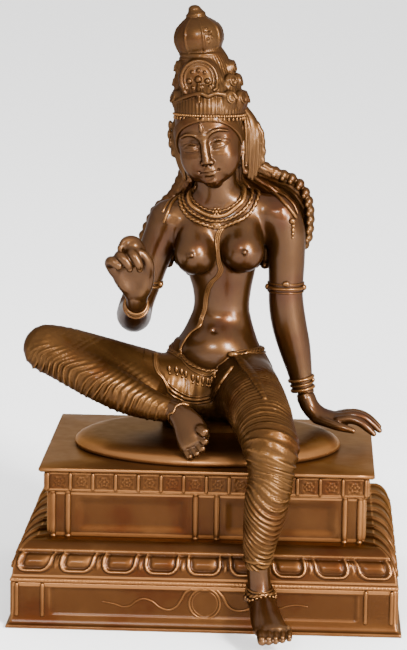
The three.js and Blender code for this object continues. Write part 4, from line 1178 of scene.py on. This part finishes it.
for x, y, z in DROPS:
    tag(legs, (x, y, z), (0.95, 0.9, 2.3), 0.35)
    tag(legs, (x, y, z - 2.8), (0.6, 0.6, 0.7), 0.4, detail=8)
APRON = [
    [-29, -8, 49.5], [-29, -12.9, 46.1], [-27.7, -16.5, 41], [-25, -16.9, 35.8], [-21.4, -16.6, 32.1],
    [-17.7, -15.9, 29.4], [-13, -15.3, 27.2], [-6.7, -18.2, 26.9], [-0.4, -19.1, 28.3], [5.3, -24, 32],
    [9.6, -29, 38], [12, -26, 44],
]
for dx, dz, r in ((0, 0, 0.95), (1.7, 1.5, 0.6), (-1.8, -1.6, 0.7)):
    path = [[x + dx * max(0, 1 - i / 8), y, z + dz] for i, (x, y, z) in enumerate(APRON)]
    jewels.append(strand(laid(legs, path, 0.25), r))
SASH = [
    [12.5, -9.3, 48.9], [14.9, -19, 48.2], [17.8, -30.3, 47.4], [21.7, -42.1, 45.6], [25.6, -57.2, 43.1],
    [28.9, -68.7, 39.3],
]
line = laid(legs, SASH, 0.25)
widths = np.interp(np.linspace(0, 1, len(line)), [0, 0.15, 0.6, 1], [1.4, 2.3, 2.6, 1.2])
hanging_leg.add(limb([[*q[:3], w, 0.9] for q, w in zip(line, widths)], (1, 0.2, 0), 0.8), blend=1)
tag(legs, (12.6, -10, 48.4), (3, 1.8, 2), 0.4)
LEG_LINE = (0.05, -0.2, 1)
jewels.append(twisted(laid([foot], ring_points((28, -89.5, -55), LEG_LINE, 6.4), 0.3, 0.9), 1.0))
jewels.append(strand(laid([foot], ring_points((28, -89.5, -52.8), LEG_LINE, 6.4), 0.3, 0.9), 0.55))
for p in laid([foot], ring_points((28, -89.8, -57.4), LEG_LINE, 6.6), 0.4, 2.2):
    jewels.append(ball(p[:3], 0.7, detail=7))
for shift, r in ((0, 0.8), (2, 0.6)):
    path = [[x - shift, -46, z] for x, z in ((-10.9, 29.1), (-13, 28), (-16.2, 23.9), (-17.4, 20.9))]
    jewels.append(strand(laid([sole, folded], path, 0.2), r, (0, 1, 0.3)))

# ---------------------------------------------------------------- cushion


def cushion():
    """A low oval cushion, 70 wide and 55 deep to each side."""
    edge = [
        (0, 0), (66, 0), (69.2, 0.3), (70, 1.4), (69.6, 2.8), (68, 4.5), (65, 5.9), (61, 6.8), (50, 7.3),
        (0, 7.4),
    ]
    profile = curve([[out, 0, z] for out, z in edge], 2)[:, None]
    a = np.linspace(0, 2 * np.pi, 120, endpoint=False)
    x, y = profile[..., 0] * np.cos(a), profile[..., 0] * np.sin(a) * 55 / 70
    rings = np.stack([x, y, profile[..., 2] + 0 * a], -1)
    return closed(rings + np.array([-2, -3, 0.02]))


# ---------------------------------------------------------------- pedestal

BLOCK_Z, BEAD_Z, LOTUS_Z, DADO_Z, FRIEZE_Z, SLAB_Z = 4.5, 23.5, 26.0, 43.5, 67.5, 77.5
DADO_OUT, FRIEZE_OUT = -5.4, -3.4
PETAL_PITCH, BAR_PITCH = 21.6, 11.6
FRONT, BACK = 0, 2


def on_side(side, along, depth):
    """Places on one side of the pedestal, counted from the front against the clock."""
    c, sn = ((1, 0), (0, 1), (-1, 0), (0, -1))[side]
    return along * c + depth * sn, along * sn - depth * c


def half_size(side):
    """Half of a side's length, and how far it is from the middle, at the slab's edge."""
    return (SLAB_WIDTH / 2, SLAB_DEPTH / 2) if side in (FRONT, BACK) else (SLAB_DEPTH / 2, SLAB_WIDTH / 2)


def moulding(profile, step, relief=None):
    """A course of the pedestal: a profile of (out from the slab's edge, height) run round it. `relief`
    gives how far a side's skin stands out at x along it and s up the profile."""
    line = np.array(profile, float)
    d = unit(np.gradient(line, axis=0))
    normal = np.stack([d[:, 1], -d[:, 0]], 1)
    s = travelled(line)[:, None]
    rings = []
    for side in range(4):
        half, depth = half_size(side)
        n = max(1, int(2 * (half + line[:, 0].max()) / step))
        f = (np.arange(n) / n * 2 - 1)[None]
        out, z = line[:, :1], line[:, 1:]
        h = relief(side, f * (half + out), s) if relief else 0
        o = out + h * normal[:, :1] + 0 * f
        x, y = on_side(side, f * (half + o), depth + o)
        rings.append(np.stack([x, y, z + h * normal[:, 1:] + 0 * f], -1))
    return closed(np.concatenate(rings, axis=1))


def even(profile, step):
    """A profile with points added so that none are further apart than a step."""
    out = [profile[0]]
    for a, b in zip(profile, profile[1:]):
        n = max(1, math.ceil(math.dist(a, b) / step))
        out += [[a[0] + (b[0] - a[0]) * i / n, a[1] + (b[1] - a[1]) * i / n] for i in range(1, n + 1)]
    return out


def rounded_box(x, z, half_x, half_z, radius):
    """The distance to the edge of a rounded rectangle, below 0 inside."""
    a, b = np.abs(x) - half_x + radius, np.abs(z) - half_z + radius
    return np.hypot(np.maximum(a, 0), np.maximum(b, 0)) + np.minimum(np.maximum(a, b), 0) - radius


def lotus_relief(side, x, s):
    """Rounded petals with a raised rim hang below a plain sloping band."""
    count = round(2 * (half_size(side)[0] + LOTUS_FLARE) / PETAL_PITCH)
    width = 2 * np.abs(x[:, :1]) / count
    u = np.abs((x / width + (0.5 if count % 2 else 0)) % 1 - 0.5) * PETAL_PITCH
    low, r = 2.9, 5.2
    half = 8.7 + 0.05 * np.maximum(s - 6, 0)
    a, b = np.maximum(u - (half - r), 0), np.maximum(low + r - s, 0)
    d = np.where((a > 0) | (b > 0), np.hypot(a, b) - r, -np.minimum(half - u, s - low))
    rim = 1.45 * bell(d + 0.8, 0.72)
    belly = ease(-d, 1.8, 6) * (0.5 - 0.4 * ease(s, 8, 12)) - 0.45 * bell(d + 2.3, 0.6)
    spread = 0.25 + 0.1 * np.maximum(s - 5, 0)
    leaf = 0.75 * bell(PETAL_PITCH / 2 - u - spread, 0.3) * ease(s, 4, 6.5)
    between = leaf - 0.45 * bell(d - 0.35, 0.3)
    petals = np.where(d < 0.2, rim + np.where(d < 0, belly, 0), between + rim) * ease(s, 1.6, 3)
    band, sunk = (13.4, 0.75) if side in (FRONT, BACK) else (24.5, 0)
    petals = petals - sunk * ease(s, band - 2.6, band - 0.4)
    over = ease(s, band - 0.25, band + 0.25)
    return petals * (1 - over) + 1.15 * over * (1 - ease(s, 19.5, 22.8))


def bar_row(side):
    """Half the length of a side's row of frieze bars, and the number of gaps in it."""
    half = half_size(side)[0] + FRIEZE_OUT - 1
    return half, max(1, round(2 * half / BAR_PITCH))


def frieze_relief(side, x, s):
    """Chased lozenges and border lines between the bars."""
    half, gaps = bar_row(side)
    pitch = 2 * half / gaps
    u = np.abs(((x + half) / pitch) % 1 - 0.5) * pitch
    z = s - 5
    lines = 0.32 * (bell(z - 3.9, 0.32) + bell(z + 3.9, 0.32))
    posts = 0.25 * (bell(u - 4.1, 0.28) + bell(u - 3.3, 0.25)) * (np.abs(z) < 3.4)
    turn, r = np.arctan2(z, u), np.hypot(u, z)
    flower = 0.42 * bell(r - 1.9 - 0.4 * np.cos(6 * turn), 0.34) + 0.45 * bell(r, 0.7)
    leaves = 0.36 * bell(np.hypot(u - 2.5, np.abs(z) - 2.7) - 0.5, 0.3) * (np.abs(z) < 3.6)
    return (lines + posts + flower + leaves - 0.1) * (np.abs(x) < half + 0.6)


def panel_relief(spans, low, high, depth, slope, radius):
    """Sunk panels with soft edges, each between two places along a side."""

    def relief(side, x, s):
        total = 0 * x * s
        for x0, x1 in spans(side):
            middle, half = ((x0 + x1) / 2, (low + high) / 2), ((x1 - x0) / 2, (high - low) / 2)
            total = total - depth * ease(-rounded_box(x - middle[0], s - middle[1], *half, radius), 0, slope)
        return total

    return relief


def dado_spans(side):
    """Two panels at the front and one on each other side."""
    outer = half_size(side)[0] + DADO_OUT - 12.7
    return [(-outer, -8.8), (8.8, outer)] if side == FRONT else [(-outer, outer)]


def block_spans(side):
    """One panel on each side of the base block."""
    outer = half_size(side)[0] + LOTUS_FLARE - 19
    return [(-outer, outer)]


def upright(side, x, out, stations, **form):
    """An upright round bar on a side, through pairs of height and radius."""
    cx, cy = on_side(side, x, half_size(side)[1] + out)
    return limb([[cx, cy, z, radius] for z, radius in stations], **form)


def column(side, x, low, high):
    """A half-sunk colonnette with a little foot and head, on the dado."""
    radius, flare = 1.5, 1.12
    stations = [(low, flare), (low + 0.9, flare), (low + 1.5, 0.9), (low + 2.1, 1), ((low + high) / 2, 1.06)]
    stations += [(high - 2.1, 1), (high - 1.5, 0.9), (high - 0.9, flare), (high, flare)]
    stations = [(z, radius * share) for z, share in stations]
    return upright(side, x, DADO_OUT, stations, spacing=0.5, sides=14, ends=(0, 0))


def bars(side):
    """The upright bars of the frieze, the dado and the base block."""
    shapes = []
    half = half_size(side)[0]
    reach, gaps = bar_row(side)
    if side != BACK:
        stations = [(z, 1.05) for z in (FRIEZE_Z + 1.5, FRIEZE_Z + 5, SLAB_Z - 1.6)]
        for x in np.linspace(-reach, reach, gaps + 1):
            shapes.append(upright(side, x, FRIEZE_OUT, stations, spacing=1.4, sides=12, ends=(1.4, 1.4)))
    corner = half + DADO_OUT - 1.7 - 3.8
    places = [way * corner + o for way in (-1, 1) for o in (-3.8, 3.8)]
    if side == FRONT:
        places += [-5.4, 5.4]
    shapes += [column(side, x, DADO_Z - 0.2, FRIEZE_Z + 0.1) for x in places]
    if side != BACK:
        corner = half + LOTUS_FLARE - 2.4 - 6.5
        stations = [(z, 1.15) for z in (BLOCK_Z + 2.2, 13, BEAD_Z - 1.2)]
        for x in (way * corner + o for way in (-1, 1) for o in (-6.5, 6.5)):
            shapes.append(upright(side, x, LOTUS_FLARE, stations, spacing=1.5, sides=12))
    return shapes


def scroll():
    """The ring and tendrils in the middle of the front panel."""
    y = BLOCK_FACE + 0.55
    left = [
        (-6.4, 22.0), (-9.2, 20.0), (-11.2, 16.4), (-13.8, 12.6), (-17.6, 10.8), (-22.2, 12), (-26.3, 15.1),
        (-30.6, 16.2), (-34.3, 14.7), (-37, 12.6), (-40.4, 11.8), (-45.4, 13.2), (-50.8, 14.2),
    ]
    right = [
        (6.8, 21.4), (9.8, 18.2), (12.4, 13.6), (16.3, 11.3), (21, 11.5), (25.4, 13.6), (29.6, 14.9),
        (33.6, 13.4), (37.9, 12.8), (42.4, 14.2), (47.1, 14.8), (52.2, 14.2),
    ]
    shapes = [
        tube([[0.6 + dx, y, 14.4 + dz] for dx, dz in circle(7.8)], 0.75, sides=12),
        tube([[0.6 + dx, y + 0.2, 14.4 + dz] for dx, dz in circle(6.4)], 0.35),
    ]
    for path in (left, right):
        taper = np.linspace(0.85, 0.45, len(path))
        shapes.append(tube([[x, y, z] for x, z in path], taper, sides=12))
    return shapes


def pedestal():
    """The courses from the floor up, by name."""
    quarter = [
        [LOTUS_FLARE * math.cos(a), LOTUS_Z + 17.5 * math.sin(a)] for a in np.linspace(0, math.pi / 2, 200)
    ]
    arc = travelled(quarter)
    at = np.linspace(0, arc[-1], 44)
    lotus = np.stack([np.interp(at, arc, [q[i] for q in quarter]) for i in (0, 1)], 1)
    swell = [(12, 0), (12.5, 0.3), (12.8, 0.8), (12.9, 1.25), (12.8, 1.7), (12.5, 2.2), (12, 2.5)]
    bead = [[out, BEAD_Z + up] for out, up in swell]
    flange = [
        [14.4, 0], [14.85, 0.15], [15, 0.5], [15, 1.3], [14.7, 1.75], [14, 2], [13.3, 2.7], [12.7, 4.2],
        [12.25, 6.4], [12, 9],
    ]
    block = even(flange + [[12, BEAD_Z]], 0.75)
    shift = travelled(block)[-1] - BEAD_Z
    sunk = panel_relief(block_spans, 6.8 + shift, 21.3 + shift, 0.5, 1, 1.4)

    def block_relief(side, x, s):
        stipple = np.sin(5.2 * x + 1.7 * np.sin(4 * s)) * np.sin(5.6 * s + 1.3 * np.sin(3.1 * x))
        half = half_size(side)[0] + LOTUS_FLARE
        corner = ease(np.abs(x), half - 16, half - 15.4) * (1 - ease(np.abs(x), half - 2.6, half - 2))
        corner = corner * ease(s, 8, 9) * (1 - ease(s, 22.5 + shift, 23 + shift))
        return sunk(side, x, s) + 0.09 * stipple * corner

    def bead_relief(side, x, s):
        return 0.28 * (np.cos(2 * np.pi * x / 1.9) * 0.5 + 0.5) * bell(s - 1.5, 0.8)

    dado = even([[DADO_OUT, DADO_Z - 0.4], [DADO_OUT, FRIEZE_Z + 0.2]], 0.9)
    neck = even([[DADO_OUT, FRIEZE_Z - 0.9], [DADO_OUT + 1.3, FRIEZE_Z - 0.7], [FRIEZE_OUT, FRIEZE_Z]], 0.6)
    slab = [
        [FRIEZE_OUT, SLAB_Z], [-1.5, SLAB_Z + 0.05], [-1.1, SLAB_Z + 0.15], [-0.2, SLAB_Z + 0.95],
        [0, SLAB_Z + 1.25], [0, SLAB_TOP - 0.35], [-0.1, SLAB_TOP - 0.12], [-0.35, SLAB_TOP],
    ]
    return {
        "foot_block": moulding(block, 1.15, block_relief),
        "bead_course": moulding(bead, 0.46, bead_relief),
        "lotus_course": moulding(lotus, 0.8, lotus_relief),
        "dado": moulding(dado, 1.0, panel_relief(dado_spans, 2.4, 22.2, 0.9, 5, 4.2)),
        "dado_neck": moulding(neck, 30),
        "frieze": moulding(even([[FRIEZE_OUT, FRIEZE_Z], [FRIEZE_OUT, SLAB_Z]], 0.42), 0.5, frieze_relief),
        "slab": moulding(slab, 12),
        "bars": [shape for side in range(4) for shape in bars(side)],
        "scroll": scroll(),
    }


# ---------------------------------------------------------------- making the pieces

# The torso ends inside the seat, and the head inside the hair.
torso.trim(2, 26, -1)
face.trim(1, 11, 1)
# Clay is meshed with the given adaptivity: the higher, the fewer faces where it is smooth.
FIGURE = {
    "torso": (torso, 0.05, "figure"),
    "head": (face, 0.02, "face"),
    "hairline": (hairline, 0.03, "hair"),
    "hair_knot": (hair, 0.04, "hair"),
    "diadem": (diadem, None, "jewel"),
    "jewellery": (jewels, None, "jewel"),
    "tresses": (tresses, 0.06, "hair"),
    "raised_hand": (raised, 0.02, "figure"),
    "resting_hand": (resting, 0.02, "figure"),
    "seat": (seat, 0.05, "garment"),
    "folded_leg": (folded, 0.04, "garment"),
    "hanging_leg": (hanging_leg, 0.04, "garment"),
    "hanging_foot": (foot, 0.02, "figure"),
    "folded_foot": (sole, 0.02, "figure"),
    "cushion": (cushion(), None, "pedestal"),
}
for name, (form, adaptivity, metal) in FIGURE.items():
    shapes = form.skin(adaptivity) if isinstance(form, Clay) else form
    matrix = HEAD if name in ("head", "hairline") else Matrix()
    piece(name, shapes, "figure", metals[metal], matrix=matrix)
for name, shapes in pedestal().items():
    piece(name, shapes, "pedestal", metals["pedestal"], base=0)

# ---------------------------------------------------------------- stage

# The camera that was fitted to the pedestal's corners in the photo.
PHOTO_HEIGHT, FOCAL_PIXELS = 650, 2723.0
SENSOR = 36
PITCH, YAW, ROLL = (math.radians(d) for d in (10.28, -2.23, 0.84))
OFFSET = np.array([3.0, -141.1, 1452.0])
sin_pitch, cos_pitch = math.sin(PITCH), math.cos(PITCH)
sin_yaw, cos_yaw = math.sin(YAW), math.cos(YAW)
sin_roll, cos_roll = math.sin(ROLL), math.cos(ROLL)
turn = np.array([[cos_roll, sin_roll, 0], [-sin_roll, cos_roll, 0], [0, 0, 1]])
turn = turn @ np.array([[1, 0, 0], [0, sin_pitch, cos_pitch], [0, cos_pitch, -sin_pitch]])
turn = turn @ np.array([[cos_yaw, -sin_yaw, 0], [sin_yaw, cos_yaw, 0], [0, 0, 1]])
eye = bpy.data.cameras.new("camera")
eye.sensor_width = SENSOR
eye.lens = FOCAL_PIXELS / PHOTO_HEIGHT * SENSOR
camera = linked("camera", eye)
place = np.eye(4)
place[:3, :3] = turn.T * [1, 1, -1]
place[:3, 3] = -(turn.T @ OFFSET) * MM
camera.matrix_world = Matrix(place.tolist())
bpy.context.scene.camera = camera

FLOOR_HALF = 14
floor_mesh = bpy.data.meshes.new("floor")
corners = [(x * FLOOR_HALF, y * FLOOR_HALF, 0) for x, y in ((-1, -1), (1, -1), (1, 1), (-1, 1))]
floor_mesh.from_pydata(corners, [], [(0, 1, 2, 3)])
paper = bpy.data.materials.new("paper")
paper.use_nodes = True
paper.node_tree.nodes["Principled BSDF"].inputs["Base Color"].default_value = (0.9, 0.9, 0.9, 1)
paper.node_tree.nodes["Principled BSDF"].inputs["Roughness"].default_value = 0.8
floor_mesh.materials.append(paper)
linked("floor", floor_mesh)

# The sky is brightest from the front and above, and the metal shows it as a soft gradient.
world = bpy.data.worlds.new("world")
world.use_nodes = True
sky, wires = world.node_tree.nodes, world.node_tree.links
facing = sky.new("ShaderNodeVectorMath")
facing.operation = "DOT_PRODUCT"
facing.inputs[1].default_value = (0.1, -0.36, 0.33)
wires.new(sky.new("ShaderNodeTexCoord").outputs["Generated"], facing.inputs[0])
centred = sky.new("ShaderNodeMath")
centred.inputs[1].default_value = 0.5
wires.new(facing.outputs["Value"], centred.inputs[0])
glow = ramp(sky, wires, centred.outputs[0], [(0.2, (0.58, 0.57, 0.56)), (0.86, (1, 1, 1))])
wires.new(glow, sky["Background"].inputs["Color"])
sky["Background"].inputs["Strength"].default_value = 2.4
bpy.context.scene.world = world

AIM = Vector((0, 0, 0.16))
for name, place, size, power in (
    ("key", (1.5, -2.2, 1.4), (0.55, 0.85), 320), ("side", (2.2, -2.2, 0.6), (0.36, 1.0), 150),
    ("front", (-0.4, -3.0, 1.5), (0.5, 0.4), 95),
):
    light = bpy.data.lights.new(name, "AREA")
    light.shape = "RECTANGLE"
    light.size, light.size_y = size
    light.energy = power
    lamp = linked(name, light)
    lamp.location = place
    lamp.rotation_euler = (AIM - Vector(place)).to_track_quat("-Z", "Y").to_euler()

bpy.context.view_layer.update()
